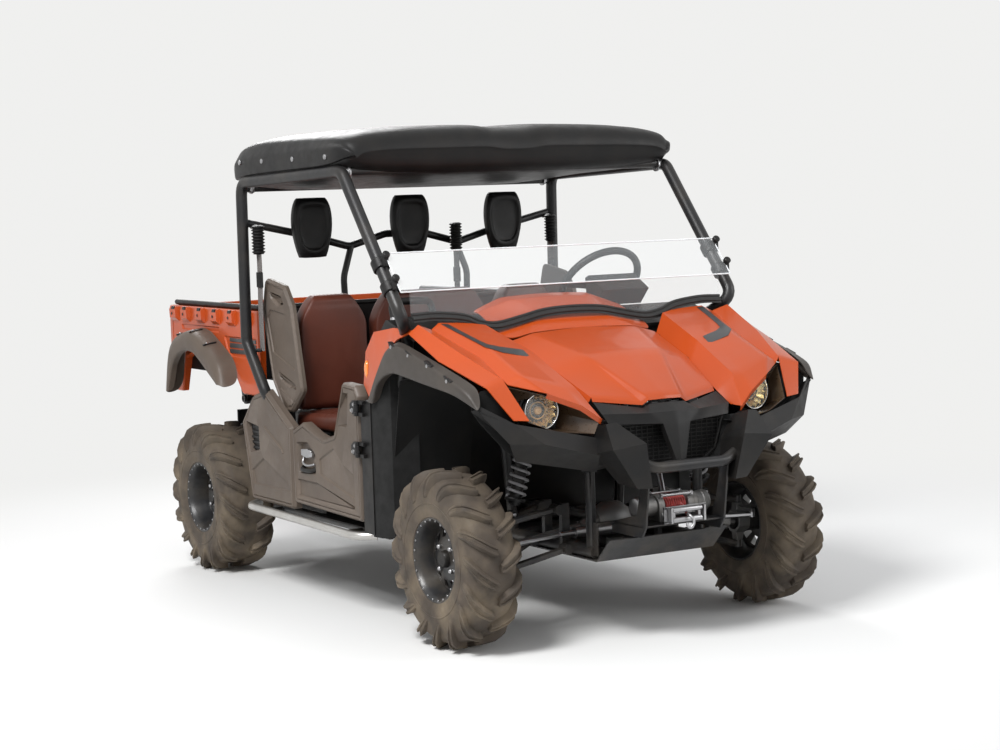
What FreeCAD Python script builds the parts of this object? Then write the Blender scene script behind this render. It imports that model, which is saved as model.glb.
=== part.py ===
"""Side by side utility vehicle with three seats, a roof cage and a tilting cargo bed.

Frame: millimetres, +X to the vehicle's left, -Y to its front, +Z up. The origin is on the
ground, midway between the axles and on the centre plane. Pieces that come in pairs are made
for the left side (x above 0) and mirrored.
"""
import FreeCAD, Part
import math
import os
from functools import cache

V = FreeCAD.Vector
os.makedirs("parts", exist_ok=True)

# Driving dimensions
WHEELBASE = 2140.0
FRONT_AXLE_Y = -WHEELBASE / 2
REAR_AXLE_Y = WHEELBASE / 2
TYRE_R = 328.0
RIM_R = 152.0
AXLE_Z = TYRE_R
FRONT_WHEEL_X = 680.0
REAR_WHEEL_X = 659.0
FRONT_TYRE_W = 212.0
REAR_TYRE_W = 250.0
KINGPIN_X = 596.0
RIM_SIDES = 12
LUGS = 16
RIM_FACE = 14.0
HUB_INNER = 52.0
BALL_JOINT_RISE = 88.0
EYE_HALF = 14.0
SHAFT_HOLE_R = 34.0
STEER_ARM = 95.0

# Fits: gaps at rest between seated pieces and round turning pins, and round sections
SEAT_GAP = 0.3
PIN_CLEARANCE = 0.08
TUBE_SIDES = 8
CAGE_SIDES = 12
FLAT = math.cos(math.pi / TUBE_SIDES)

RAIL_X = 240.0
RAIL_Z = 330.0
RAIL_R = 25.0
FRAME_TUBE_R = 19.0
ROCKER_X = 640.0
ROCKER_R = 19.0
ROCKER_Z = 336.0
FLOOR_Z = ROCKER_Z + ROCKER_R * FLAT + SEAT_GAP
FLOOR_WALL = 5.0
RAIL_FRONT_Y = -1330.0
SILL_FRONT_Y = -500.0
SILL_REAR_Y = 540.0
SILL_CROSS_Y = (-450.0, 520.0)
NOSE_TUBE_Y = -1300.0
NOSE_TUBE_Z = 795.0

CAGE_R = 24.0
PILLAR_TOP = (754.0, -422.0, 1735.0)
PILLAR_FOOT = (756.0, -861.0, 1200.0)
REAR_PILLAR_X = 766.0
REAR_PILLAR_Y = 505.0
RAIL_FRONT_TOP = (756.0, -375.0, 1740.0)
REAR_RAIL_Z = 1714.0
ROOF_WALL = 5.0

PANEL_WALL = 4.0
DOOR_X = 745.0
DOOR_DEPTH = 42.0
DOOR_FRONT_Y = -466.0
DOOR_REAR_Y = 140.0
HINGE_X = 757.0
HINGE_Y = -474.0
HINGE_PIN_R = 6.0
SEAT_X = 472.0
SEAT_BASE_Z = 690.0
SEAT_BACK_Z = 762.6

BED_X = 640.0
BED_FRONT_Y = 590.0
BED_REAR_Y = 1545.0
RAIL_REAR_Y = BED_REAR_Y - 105
BED_FLOOR_Z = 880.0
BED_TOP_Z = 1180.0
BED_WALL = 4.0
BED_PIVOT_X = 380.0
BED_PIVOT_Y = BED_REAR_Y - 145
BED_PIVOT_Z = 720.0
BED_PIN_R = 12.0
BED_BEAM = 50.0
BED_LUG_HALF = 8.0
TAILGATE_DEPTH = 38.0
TAILGATE_PIN_R = 8.0


def save(name, shape):
    """Write one sub-part."""
    shape.exportStep("parts/" + name + ".step")


def mirrored(shape):
    """The same piece on the other side of the centre plane."""
    return shape.mirror(V(0, 0, 0), V(1, 0, 0))


def pair(shape):
    """Left and right pieces of one kind, as solids that do not touch."""
    return Part.makeCompound(solids_of(shape) + solids_of(mirrored(shape)))


def solids_of(shape):
    return list(shape.Solids)


def fuse(*shapes):
    """One shape from several that touch or overlap."""
    base = shapes[0]
    joined = base.fuse(list(shapes[1:])) if len(shapes) > 1 else base
    return joined.removeSplitter()


def cut(base, *tools):
    return base.cut(list(tools))


def box(x0, x1, y0, y1, z0, z1):
    return Part.makeBox(x1 - x0, y1 - y0, z1 - z0, V(x0, y0, z0))


def around(centre, axis, radius, sides):
    """Corners of a regular ring about an axis; a flat side faces up where it can."""
    axis = V(axis).normalize()
    across = axis.cross(V(0, 0, 1) if abs(axis.z) < 0.9 else V(0, 1, 0)).normalize()
    other = axis.cross(across)
    ring = []
    for i in range(sides):
        turn = math.pi * (2 * i + 1) / sides
        ring.append(centre + (across * math.cos(turn) + other * math.sin(turn)) * radius)
    return ring


def pole(radius, length, base, axis=V(0, 0, 1), sides=TUBE_SIDES):
    """Round bar with flats, from a base point along an axis."""
    ring = around(base, axis, radius, sides)
    return Part.Face(Part.makePolygon(ring + ring[:1])).extrude(V(axis).normalize() * length)


def rod(start, end, radius, sides=TUBE_SIDES):
    """Round bar between two points."""
    a, b = V(*start), V(*end)
    return pole(radius, (b - a).Length, a, b - a, sides)


def bore(pin_radius, length, base, axis, sides=TUBE_SIDES):
    """Hole for a turning pin: the flats of the hole clear the corners of the pin."""
    return pole((pin_radius + PIN_CLEARANCE) / math.cos(math.pi / sides), length, base, axis, sides)


def largest(shape):
    return max(shape.Solids, key=lambda solid: solid.Volume)


def stay(start, end, radius, *against):
    """Round stay that ends flush on the piece it carries."""
    return largest(cut(rod(start, end, radius), *against))


def prism_x(outline, x0, x1):
    """Solid with a (y, z) outline, from x0 to x1."""
    wire = Part.makePolygon([V(x0, y, z) for y, z in outline + outline[:1]])
    return Part.Face(wire).extrude(V(x1 - x0, 0, 0))


def prism_y(outline, y0, y1):
    """Solid with an (x, z) outline, from y0 to y1."""
    wire = Part.makePolygon([V(x, y0, z) for x, z in outline + outline[:1]])
    return Part.Face(wire).extrude(V(0, y1 - y0, 0))


def prism_z(outline, z0, z1):
    """Solid with an (x, y) outline, from z0 to z1."""
    wire = Part.makePolygon([V(x, y, z0) for x, y in outline + outline[:1]])
    return Part.Face(wire).extrude(V(0, 0, z1 - z0))


def skin(rings, closed):
    """Solid between rings with as many corners each; closed joins the last ring to the first."""
    faces = []
    pairs = list(zip(rings, rings[1:] + rings[:1])) if closed else list(zip(rings, rings[1:]))
    for low, high in pairs:
        for i in range(len(low)):
            j = (i + 1) % len(low)
            corners = [low[i], low[j], high[j], high[i]]
            kept = [c for k, c in enumerate(corners) if (c - corners[k - 1]).Length > 1e-6]
            if len(kept) > 2:
                faces += facets(kept)
    if not closed:
        for ring in (rings[0][::-1], rings[-1]):
            if (ring[0] - ring[1]).Length > 1e-6:
                faces += facets(ring)
    solid = Part.makeSolid(Part.makeShell(faces))
    return solid if solid.Volume > 0 else solid.reversed()


def turned(profile, centre, axis, sides=12):
    """Solid of revolution with flats; profile is (distance along the axis, radius) all round."""
    base, along = V(*centre), V(axis).normalize()
    rings = [around(base + along * d, along, r, sides) if r else [base + along * d] * sides
             for d, r in profile]
    open_ends = profile[0][1] == 0 and profile[-1][1] == 0
    return skin(rings, not open_ends)


def turned_x(profile, x, y, z, sides=12):
    return turned(profile, (x, y, z), V(1, 0, 0), sides)


BEND_STEP = math.radians(40)


def bent_tube(points, radius, bend, sides=TUBE_SIDES):
    """Tube along straight runs joined by tangent arcs, as short flats round each bend."""
    corners = [V(*p) for p in points]
    path = [corners[0]]
    for before, corner, after in zip(corners, corners[1:], corners[2:]):
        u = (before - corner).normalize()
        w = (after - corner).normalize()
        half = u.getAngle(w) / 2
        turn = math.pi - 2 * half
        centre = corner + (u + w).normalize() * (bend / math.sin(half))
        spoke = corner + u * (bend / math.tan(half)) - centre
        last_spoke = corner + w * (bend / math.tan(half)) - centre
        axis = spoke.cross(last_spoke).normalize()
        steps = max(1, math.ceil(turn / BEND_STEP))
        for i in range(steps + 1):
            part_turn = FreeCAD.Rotation(axis, math.degrees(turn * i / steps))
            path.append(centre + part_turn.multVec(spoke))
    path.append(corners[-1])
    runs = [(b - a).normalize() for a, b in zip(path, path[1:])]
    rings = [around(path[0], runs[0], radius, sides)]
    for i, point in enumerate(path[1:], 1):
        run = runs[i - 1]
        face_normal = (run + runs[i]).normalize() if i < len(runs) else run
        rings.append([c + run * ((point - c).dot(face_normal) / run.dot(face_normal))
                      for c in rings[-1]])
    return skin(rings, False)


def oriented(faces):
    """The faces' corner lists, turned so that neighbours agree on which side is out."""
    lists = [names.split() for names in faces]
    done, queue = [lists[0]], [lists[0]]
    waiting = lists[1:]
    while queue:
        current = queue.pop()
        edges = set(zip(current, current[1:] + current[:1]))
        for other in list(waiting):
            theirs = set(zip(other, other[1:] + other[:1]))
            if edges & theirs:
                turned_over = other[::-1]
            elif edges & {(b, a) for a, b in theirs}:
                turned_over = other
            else:
                continue
            waiting.remove(other)
            done.append(turned_over)
            queue.append(turned_over)
    return done


def panel(points, faces, wall, inward):
    """Closed moulded panel: named corners, faces listed by corner names, and a wall.

    The second skin lies a wall's thickness away, on the side of the point called inward.
    """
    place = {name: V(*p) for name, p in points.items()}
    target = V(*inward)
    outer = oriented(faces)
    normals = {name: V(0, 0, 0) for name in points}
    facing = 0.0
    for corners in outer:
        a, b, c = (place[n] for n in corners[:3])
        area = (b - a).cross(c - a)
        facing += area.dot(target - a)
        for n in corners:
            normals[n] = normals[n] + V(area).normalize()
    if facing > 0:
        outer = [corners[::-1] for corners in outer]
        normals = {n: normals[n] * -1 for n in normals}
    inner = {n: place[n] - normals[n].normalize() * wall for n in points}
    edges = {edge for corners in outer for edge in zip(corners, corners[1:] + corners[:1])}
    made = []
    for corners in outer:
        made += facets([place[n] for n in corners])
        made += facets([inner[n] for n in reversed(corners)])
        for a, b in zip(corners, corners[1:] + corners[:1]):
            if (b, a) not in edges:
                made += facets([place[b], place[a], inner[a], inner[b]])
    solid = Part.makeSolid(Part.makeShell(made))
    return solid if solid.Volume > 0 else solid.reversed()


def facets(corners):
    """One flat face, or triangles where the corners are not in one plane.

    The split starts at the same corner on both sides of the vehicle.
    """
    def order(i):
        return round(abs(corners[i].x), 3), corners[i].y, corners[i].z

    first = min(range(len(corners)), key=order)
    corners = corners[first:] + corners[:first]
    a, b, c = corners[:3]
    normal = (b - a).cross(c - a).normalize()
    if any(abs((d - a).dot(normal)) > 1e-4 for d in corners[3:]):
        return facets([a, b, c]) + facets([a] + corners[2:])
    return [Part.Face(Part.makePolygon(corners + corners[:1]))]


def strip(outline, wall, x0, x1, side=1):
    """Folded sheet with a (y, z) path, wall thick on one side, from x0 to x1."""
    path = [V(0, y, z) for y, z in outline]
    offset = []
    for i, p in enumerate(path):
        ahead = path[min(i + 1, len(path) - 1)] - path[min(i, len(path) - 2)]
        behind = path[max(i, 1)] - path[max(i - 1, 0)]
        n1 = V(0, ahead.z, -ahead.y).normalize()
        n2 = V(0, behind.z, -behind.y).normalize()
        n = (n1 + n2).normalize()
        offset.append(p + n * (side * wall / n.dot(n1)))
    ring = [(p.y, p.z) for p in path] + [(p.y, p.z) for p in reversed(offset)]
    return prism_x(ring, x0, x1)


# Wheels

# Rings of the tyre from the bead to the middle: distance in from the widest point and radius
# measured down from the lug tips, then how far a lug stands out sideways and upwards there,
# and how far it trails behind, in lug pitches. The bead's radius is the rim's.
TYRE_RINGS = [
    # inset, depth, side, rise, trail
    (22, None, 0, 0, 0.0),
    (6, 88, 0, 0, 0.0),
    (12, 55, 12, 0, 0.55),
    (34, 26, 14, 20, 0.3),
    (None, 20, 0, 20, 0.0),
]
LUG_TURNS = (0.0, 0.06, 0.36, 0.42)


def tyre(centre, width):
    """Mud tyre: lugs run from each shoulder to the middle in turn, and the bead is open for the rim."""
    half = width / 2
    pitch = 2 * math.pi / LUGS
    tip = TYRE_R / math.cos(0.15 * pitch)
    rings = []
    for side in (1, -1):
        made = []
        for inset, depth, lug_side, rise, trail in TYRE_RINGS:
            x = 0.08 * half if inset is None else half - inset
            base = RIM_R if depth is None else tip - depth
            ring = []
            for k in range(4 * LUGS):
                step = k if side > 0 else k + 2
                raised = step % 4 in (1, 2) and (lug_side or rise)
                turn = step // 4 + LUG_TURNS[step % 4] - (0 if side > 0 else 0.5) - trail
                if not lug_side and not rise:
                    turn = k / 4
                angle = -math.pi / 2 + (turn - 0.21) * pitch
                radius = base + (rise if raised else 0)
                out = side * (x + (lug_side if raised else 0))
                ring.append(V(*centre) + V(out, radius * math.cos(angle), radius * math.sin(angle)))
            made.append(ring)
        rings += made if side > 0 else made[::-1]
    return skin(rings, True)


def rim(centre, width, side):
    """Twelve inch steel rim: dropped barrel, dished disc with windows, and a hub with a cap."""
    half = width / 2 - 22
    lip = RIM_R - SEAT_GAP
    x, y, z = centre
    barrel = turned_x([(-half, lip), (-24, lip - 27), (24, lip - 27), (half, lip),
                       (half, lip - 10), (0, lip - 36), (-half, lip - 10)], x, y, z, RIM_SIDES)
    face_x = RIM_FACE * side
    disc = turned_x([(face_x - 5, 30), (face_x + 5, 30), (face_x + 16 * side + 5, 74),
                     (face_x + 5, lip - 28), (face_x - 5, lip - 28),
                     (face_x + 16 * side - 5, 74)], x, y, z, RIM_SIDES)
    windows = []
    for i in range(6):
        turn = math.radians(60 * i)
        middle = V(x - 60, y + 96 * math.cos(turn), z + 96 * math.sin(turn))
        windows.append(pole(16, 120, middle, V(1, 0, 0), 4))
    hub = turned_x([(-HUB_INNER * side, 0), (-HUB_INNER * side, 44), (face_x - 8 * side, 44),
                    (face_x + 9 * side, 60), (face_x + 12 * side, 32),
                    (face_x + 46 * side, 30), (face_x + 46 * side, 0)], x, y, z, TUBE_SIDES)
    return fuse(barrel, cut(disc, *windows), hub)


def wheels():
    for name, x, y, width in (("fl", FRONT_WHEEL_X, FRONT_AXLE_Y, FRONT_TYRE_W),
                              ("fr", -FRONT_WHEEL_X, FRONT_AXLE_Y, FRONT_TYRE_W),
                              ("rl", REAR_WHEEL_X, REAR_AXLE_Y, REAR_TYRE_W),
                              ("rr", -REAR_WHEEL_X, REAR_AXLE_Y, REAR_TYRE_W)):
        side = 1 if x > 0 else -1
        save("tyre_" + name, tyre((x, y, AXLE_Z), width))
        save("rim_" + name, rim((x, y, AXLE_Z), width, side))


def knuckle():
    """Left front knuckle: upright with two ball joint eyes, a hub carrier and a steering arm."""
    x, y = KINGPIN_X, FRONT_AXLE_Y
    top = AXLE_Z + BALL_JOINT_RISE - EYE_HALF - SEAT_GAP
    bottom = AXLE_Z - BALL_JOINT_RISE + EYE_HALF + SEAT_GAP
    inner_face = FRONT_WHEEL_X - HUB_INNER - SEAT_GAP
    upright = prism_y([(x - 13, bottom), (x + 13, bottom), (x + 20, AXLE_Z - 45),
                       (x + 20, AXLE_Z + 45), (x + 13, top), (x - 13, top),
                       (x - 18, AXLE_Z + 40), (x - 18, AXLE_Z - 40)], y - 16, y + 16)
    carrier = pole(46, inner_face - x + 22, V(x - 22, y, AXLE_Z), V(1, 0, 0))
    shaft_hole = pole(SHAFT_HOLE_R, 90, V(x - 60, y, AXLE_Z), V(1, 0, 0))
    arm = prism_z([(x - 12, y), (x + 12, y), (x + 8, y - STEER_ARM - 10),
                   (x - 10, y - STEER_ARM - 10)], TIE_ROD_TOP + SEAT_GAP, TIE_ROD_TOP + 14)
    return cut(fuse(upright, carrier, arm), shaft_hole)


TIE_ROD_TOP = AXLE_Z + 46.0


# Running gear

SLEEVE_R = 18.0
ARM_PIVOT_X = RAIL_X + RAIL_R * FLAT + SLEEVE_R + SEAT_GAP
LOWER_PIVOT_Z = RAIL_Z
UPPER_PIVOT_Z = RAIL_Z + 140
ARM_SPREADS = {FRONT_AXLE_Y: (120, 60), REAR_AXLE_Y: (150, 120)}
SHOCK_FOOT_X = 435.0


def wishbone(axle_y, pivot_x, pivot_z, spread, tip_x, tip_z, radius=13.0):
    """Left A-arm: two tubes from the chassis pivots to the ball joint, and the pivot sleeves."""
    tubes = []
    for sign in (-1, 1):
        foot = (pivot_x, axle_y + sign * spread, pivot_z)
        tubes.append(rod(foot, (tip_x - 18, axle_y + sign * 6, tip_z), radius, 6))
        tubes.append(pole(SLEEVE_R / FLAT, 50, V(pivot_x, foot[1] - 25, pivot_z), V(0, 1, 0)))
    eye = pole(17, 2 * EYE_HALF, V(tip_x, axle_y, tip_z - EYE_HALF))
    return fuse(*tubes, eye)


@cache
def suspension_arms():
    """Upper and lower A-arms of the left wheels, with the cross bar that carries the spring."""
    lower_z = AXLE_Z - BALL_JOINT_RISE
    upper_z = AXLE_Z + BALL_JOINT_RISE
    arms = []
    for axle_y, tip_x in ((FRONT_AXLE_Y, KINGPIN_X), (REAR_AXLE_Y, REAR_WHEEL_X - 92)):
        low_spread, high_spread = ARM_SPREADS[axle_y]
        arms.append(wishbone(axle_y, ARM_PIVOT_X, LOWER_PIVOT_Z, low_spread, tip_x, lower_z))
        upper = wishbone(axle_y, ARM_PIVOT_X, UPPER_PIVOT_Z, high_spread, tip_x, upper_z)
        along = (SHOCK_FOOT_X - ARM_PIVOT_X) / (tip_x - 18 - ARM_PIVOT_X)
        reach = high_spread + along * (6 - high_spread)
        bar_z = UPPER_PIVOT_Z + along * (upper_z - UPPER_PIVOT_Z)
        bar = rod((SHOCK_FOOT_X, axle_y - reach, bar_z), (SHOCK_FOOT_X, axle_y + reach, bar_z), 9, 6)
        arms.append(fuse(upper, bar))
    return Part.makeCompound(arms)


def rear_carriers():
    """Left rear hub carrier, fixed between the upper and lower arms."""
    x = REAR_WHEEL_X - 92
    y = REAR_AXLE_Y
    top = AXLE_Z + BALL_JOINT_RISE - EYE_HALF - SEAT_GAP
    bottom = AXLE_Z - BALL_JOINT_RISE + EYE_HALF + SEAT_GAP
    upright = prism_y([(x - 13, bottom), (x + 13, bottom), (x + 24, AXLE_Z),
                       (x + 13, top), (x - 13, top), (x - 20, AXLE_Z)], y - 30, y + 30)
    inner_face = REAR_WHEEL_X - HUB_INNER - SEAT_GAP
    carrier = pole(46, inner_face - x + 22, V(x - 22, y, AXLE_Z), V(1, 0, 0))
    shaft_hole = pole(SHAFT_HOLE_R, 140, V(x - 60, y, AXLE_Z), V(1, 0, 0))
    return cut(fuse(upright, carrier), shaft_hole)


COIL_TURNS = 4


def shock(foot, head, body_r, spring_r):
    """Coil spring damper: body, rod and a ribbed sleeve for the turns of the coil."""
    a, b = V(*foot), V(*head)
    axis = b - a
    length = axis.Length
    turns = COIL_TURNS
    pitch = (length - 100) / turns
    profile = [(40, 0), (40, body_r)]
    for i in range(turns):
        d = 48 + i * pitch
        profile += [(d, body_r + 3), (d + pitch / 2, spring_r)]
    profile += [(length - 50, body_r), (length - 50, 0)]
    coil = turned(profile, a, axis, TUBE_SIDES)
    damper = rod(foot, head, body_r - 8, 6)
    eyes = [pole(17, 34, end - V(0, 17, 0), V(0, 1, 0)) for end in (a, b)]
    return fuse(coil, damper, *eyes)


SHOCK_HEADS = {FRONT_AXLE_Y: (340.0, 822.0), REAR_AXLE_Y: (335.0, 690.0)}
SHOCK_FOOT_Z = UPPER_PIVOT_Z - 10


def shock_absorbers():
    """The four coil-over dampers, seated on the upper arms and the frame's brackets."""
    made = [shock((SHOCK_FOOT_X, y, SHOCK_FOOT_Z), (x, y, z), 22, 36)
            for y, (x, z) in SHOCK_HEADS.items()]
    return pair(cut(Part.makeCompound(made), suspension_arms(), frame_tubes()))


def drivetrain():
    """Front and rear gear cases, their shafts to the engine and the half shafts with boots."""
    made = []
    for y, half, tip_x in ((FRONT_AXLE_Y, 75, KINGPIN_X - 20), (REAR_AXLE_Y, 85, REAR_WHEEL_X - 110)):
        case = turned_x([(-half, 0), (-half, 42), (-30, GEAR_CASE_R), (30, GEAR_CASE_R),
                         (half, 42), (half, 0)], 0, y, GEAR_CASE_Z)
        shafts = []
        for side in (-1, 1):
            inner = V(side * (half - 2), y, GEAR_CASE_Z)
            outer = V(side * tip_x, y, AXLE_Z)
            length = (outer - inner).Length
            profile = [(0, 0), (0, 40), (70, 18), (70, 13), (length - 96, 13), (length - 90, 18),
                       (length - 36, 32), (length - 36, 14), (length, 14), (length, 0)]
            shafts.append(turned(profile, inner, outer - inner, TUBE_SIDES))
        foot = box(-40, 40, y - 26, y + 26, SKID_TOP + SEAT_GAP, GEAR_CASE_Z - GEAR_CASE_R + 12)
        made.append(fuse(case, foot, *shafts))
    front = rod((0, FRONT_AXLE_Y + 60, GEAR_CASE_Z), (0, ENGINE_FRONT_Y + 4, SHAFT_Z), SHAFT_R)
    rear = rod((0, ENGINE_REAR_Y - 4, SHAFT_Z), (0, REAR_AXLE_Y - 60, GEAR_CASE_Z), SHAFT_R)
    clear = box(-ENGINE_X, ENGINE_X, ENGINE_FRONT_Y - SEAT_GAP, ENGINE_REAR_Y + SEAT_GAP,
                ENGINE_LOW_Z, ENGINE_TOP_Z)
    return [cut(fuse(made[0], front), clear), cut(fuse(made[1], rear), clear)]


SKID_TOP = RAIL_Z - RAIL_R * FLAT - SEAT_GAP
GEAR_CASE_R = 72.0
GEAR_CASE_Z = AXLE_Z + 68.0
SHAFT_Z = 376.0
SHAFT_R = 16.0
ENGINE_FRONT_Y = 60.0
ENGINE_REAR_Y = SILL_CROSS_Y[1] - FRAME_TUBE_R * FLAT - SEAT_GAP
ENGINE_X = RAIL_X - RAIL_R * FLAT - SEAT_GAP
ENGINE_LOW_Z = 314.0
ENGINE_TOP_Z = 650.0


def engine_block():
    return box(-ENGINE_X, ENGINE_X, ENGINE_FRONT_Y, ENGINE_REAR_Y, ENGINE_LOW_Z, ENGINE_TOP_Z)


MUFFLER_Y = 1270.0
MUFFLER_Z = 590.0


def muffler():
    """Silencer across the tail, hung on two straps, with its pipe to the engine."""
    can = turned_x([(-190, 0), (-190, 60), (-175, 72), (175, 72), (190, 60), (190, 0)],
                   0, MUFFLER_Y, MUFFLER_Z, 12)
    pipe = bent_tube([(120, ENGINE_REAR_Y + SEAT_GAP, 560), (120, 900, 560),
                      (120, MUFFLER_Y - 30, MUFFLER_Z)], 21, 60)
    tail = bent_tube([(-120, MUFFLER_Y, MUFFLER_Z), (-120, MUFFLER_Y + 120, MUFFLER_Z),
                      (-120, MUFFLER_Y + 190, MUFFLER_Z - 60)], 18, 40)
    tube_under = REAR_DECK_Z - FRAME_TUBE_R * FLAT - SEAT_GAP
    straps = [box(x - 12, x + 12, MUFFLER_Y - 4, MUFFLER_Y + 4, MUFFLER_Z, tube_under)
              for x in (-100, 100)]
    return fuse(can, pipe, tail, *straps)


# Chassis

REAR_DECK_Z = 700.0
CAGE_FOOT_Z = 345.0
COWL_TUBE = (300.0, -760.0, 980.0)
BED_REST_Y = 650.0
HOOD_PIN_R = 4.0
HOOD_PIVOT = (-1436.0, 868.0)


def frame_runs():
    """Left half's tubes: start, end and radius."""
    z, r = RAIL_Z, FRAME_TUBE_R
    cowl_x, cowl_y, cowl_z = COWL_TUBE
    deck_y = RAIL_REAR_Y - 60
    runs = [
        # start, end, radius
        ((RAIL_X, RAIL_FRONT_Y, z), (RAIL_X, RAIL_REAR_Y, z), RAIL_R),
        ((ROCKER_X, SILL_FRONT_Y, ROCKER_Z), (ROCKER_X, SILL_REAR_Y, ROCKER_Z), ROCKER_R),
        ((RAIL_X, NOSE_TUBE_Y, z), (RAIL_X, NOSE_TUBE_Y, NOSE_TUBE_Z + 8), r),
        ((RAIL_X, cowl_y, z), (cowl_x, cowl_y, cowl_z + 20), r),
        ((RAIL_X, NOSE_TUBE_Y, NOSE_TUBE_Z), (cowl_x, cowl_y, cowl_z), r),
        ((RAIL_X, 600, z), (RAIL_X, 600, REAR_DECK_Z), r),
        ((RAIL_X, deck_y, z), (RAIL_X, deck_y, REAR_DECK_Z), r),
        ((RAIL_X, 600, REAR_DECK_Z), (BED_PIVOT_X, 600, REAR_DECK_Z), r),
        ((RAIL_X, 560, REAR_DECK_Z), (RAIL_X, RAIL_REAR_Y, REAR_DECK_Z), r),
    ]
    for axle_y, (head_x, head_z) in SHOCK_HEADS.items():
        root = (260, axle_y, 868) if axle_y < 0 else (RAIL_X, axle_y, REAR_DECK_Z)
        runs.append((root, (head_x, axle_y, head_z), 14))
    return runs


def frame_crosses():
    """Cross tubes: half length, y and z."""
    cowl_x, cowl_y, cowl_z = COWL_TUBE
    deck_y = RAIL_REAR_Y - 60
    return [
        (RAIL_X, NOSE_TUBE_Y, RAIL_Z), (RAIL_X, cowl_y, RAIL_Z), (RAIL_X, deck_y, RAIL_Z),
        (ROCKER_X, SILL_CROSS_Y[0], ROCKER_Z), (ROCKER_X, SILL_CROSS_Y[1], ROCKER_Z),
        (RAIL_X, NOSE_TUBE_Y, NOSE_TUBE_Z), (cowl_x, cowl_y, cowl_z),
        (RAIL_X, 600, REAR_DECK_Z), (RAIL_X, MUFFLER_Y, REAR_DECK_Z), (RAIL_X, deck_y, REAR_DECK_Z),
    ]


@cache
def frame_members():
    """Tubes of both sides, what crosses between them, and the arms' brackets."""
    left = [rod(start, end, radius) for start, end, radius in frame_runs()] + arm_brackets()
    cross = [rod((-x, y, z), (x, y, z), FRAME_TUBE_R) for x, y, z in frame_crosses()]
    return left + [mirrored(member) for member in left] + cross


def arm_brackets():
    """Left plates on the rail that carry the suspension arms' pivots."""
    return [box(RAIL_X - 10, RAIL_X + RAIL_R * FLAT, y - 10, y + 10, RAIL_Z, UPPER_PIVOT_Z + 20)
            for axle_y, (_, high) in ARM_SPREADS.items() for y in (axle_y - high, axle_y + high)]


@cache
def frame_tubes():
    """Everything of the frame that other pieces are fitted round."""
    return fuse(*frame_members())


def bed_mounts():
    """Left rest for the bed's beam, and the stub pin that its lug turns on."""
    rest_top = BED_FLOOR_Z - BED_WALL - BED_BEAM - SEAT_GAP
    x, y, z = BED_PIVOT_X, BED_PIVOT_Y, BED_PIVOT_Z
    deck_y = RAIL_REAR_Y - 60
    ear_x = x - BED_LUG_HALF - 10
    return [
        rod((x, 600, REAR_DECK_Z), (x, BED_REST_Y, REAR_DECK_Z), FRAME_TUBE_R),
        pole(20, rest_top - REAR_DECK_Z, V(x, BED_REST_Y, REAR_DECK_Z)),
        rod((RAIL_X, deck_y, REAR_DECK_Z), (ear_x - 10, deck_y, REAR_DECK_Z), FRAME_TUBE_R),
        prism_x([(deck_y - 22, REAR_DECK_Z - 20), (deck_y + 14, REAR_DECK_Z - 22),
                 (y + 24, z - 6), (y + 14, z + 22), (y - 18, z + 16)], ear_x - 12, ear_x),
        rod((ear_x - 6, y, z), (x + BED_LUG_HALF + 9, y, z), BED_PIN_R),
        rod((x + BED_LUG_HALF + 1, y, z), (x + BED_LUG_HALF + 9, y, z), BED_PIN_R + 6),
    ]


def hood_mounts():
    """Left bracket and pin on which the hood's front edge turns."""
    y, z = HOOD_PIVOT
    outline = [(NOSE_TUBE_Y - 10, NOSE_TUBE_Z - 10), (NOSE_TUBE_Y + 10, NOSE_TUBE_Z + 12),
               (y + 4, z + 7), (y - 7, z + 3), (y - 5, z - 8)]
    return [prism_x(outline, 18, 24), prism_x(outline, 56, 62), rod((20, y, z), (60, y, z), HOOD_PIN_R)]


def panel_mounts():
    """Stays that carry the plastic body panels on the left side."""
    x, y, z = COWL_TUBE
    nose_y, nose_z = NOSE_TUBE_Y, NOSE_TUBE_Z
    fenders = front_fenders()
    made = []
    for at_y, foot_x, foot_z, carried in ((-930, 365, 1095, fenders), (-1150, 340, 1022, fenders),
                                          (-965, 400, 967, wheel_liners())):
        share = (at_y - nose_y) / (y - nose_y)
        start = (RAIL_X + share * (x - RAIL_X), at_y, nose_z + share * (z - nose_z))
        made.append(stay(start, (foot_x, at_y, foot_z), 9, carried))
    made.append(stay((x - 20, y, z), (x - 20, y, z + 230), 10, dash_cowl()))
    made.append(stay((200, nose_y, nose_z + 5), (200, -1492, 824), 8, front_fascia()))
    made.append(rod((150, nose_y, nose_z), (150, GRILLE_BACK_Y + SEAT_GAP, nose_z), 8))
    made.append(box(RAIL_X - 8, 420, LAMP_BACK_Y + SEAT_GAP, nose_y - 8, 800, 826))
    return made


def end_on_end(members):
    """Members that meet face to face: the larger runs through and the smaller ends on it."""
    made = []
    for member in sorted(members, key=lambda m: -m.Volume):
        near = [other for other in made if other.BoundBox.intersect(member.BoundBox)]
        made.append(largest(cut(member, *near)) if near else member)
    return Part.makeCompound(made)


@cache
def frame():
    """The chassis frame: tubes with the stays, plates and pins welded on them."""
    mounts = hood_mounts() + panel_mounts() + bed_mounts()
    return end_on_end(frame_members() + mounts + [mirrored(mount) for mount in mounts])


SKID_WALL = 5.0


def skid_plate():
    """Belly guard under the rails, turned up at the nose."""
    path = [(RAIL_FRONT_Y - 115, SKID_TOP + 85), (RAIL_FRONT_Y - 30, SKID_TOP), (1300, SKID_TOP)]
    return strip(path, SKID_WALL, -RAIL_X - 20, RAIL_X + 20)


TOE_Y = -455.0


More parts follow.
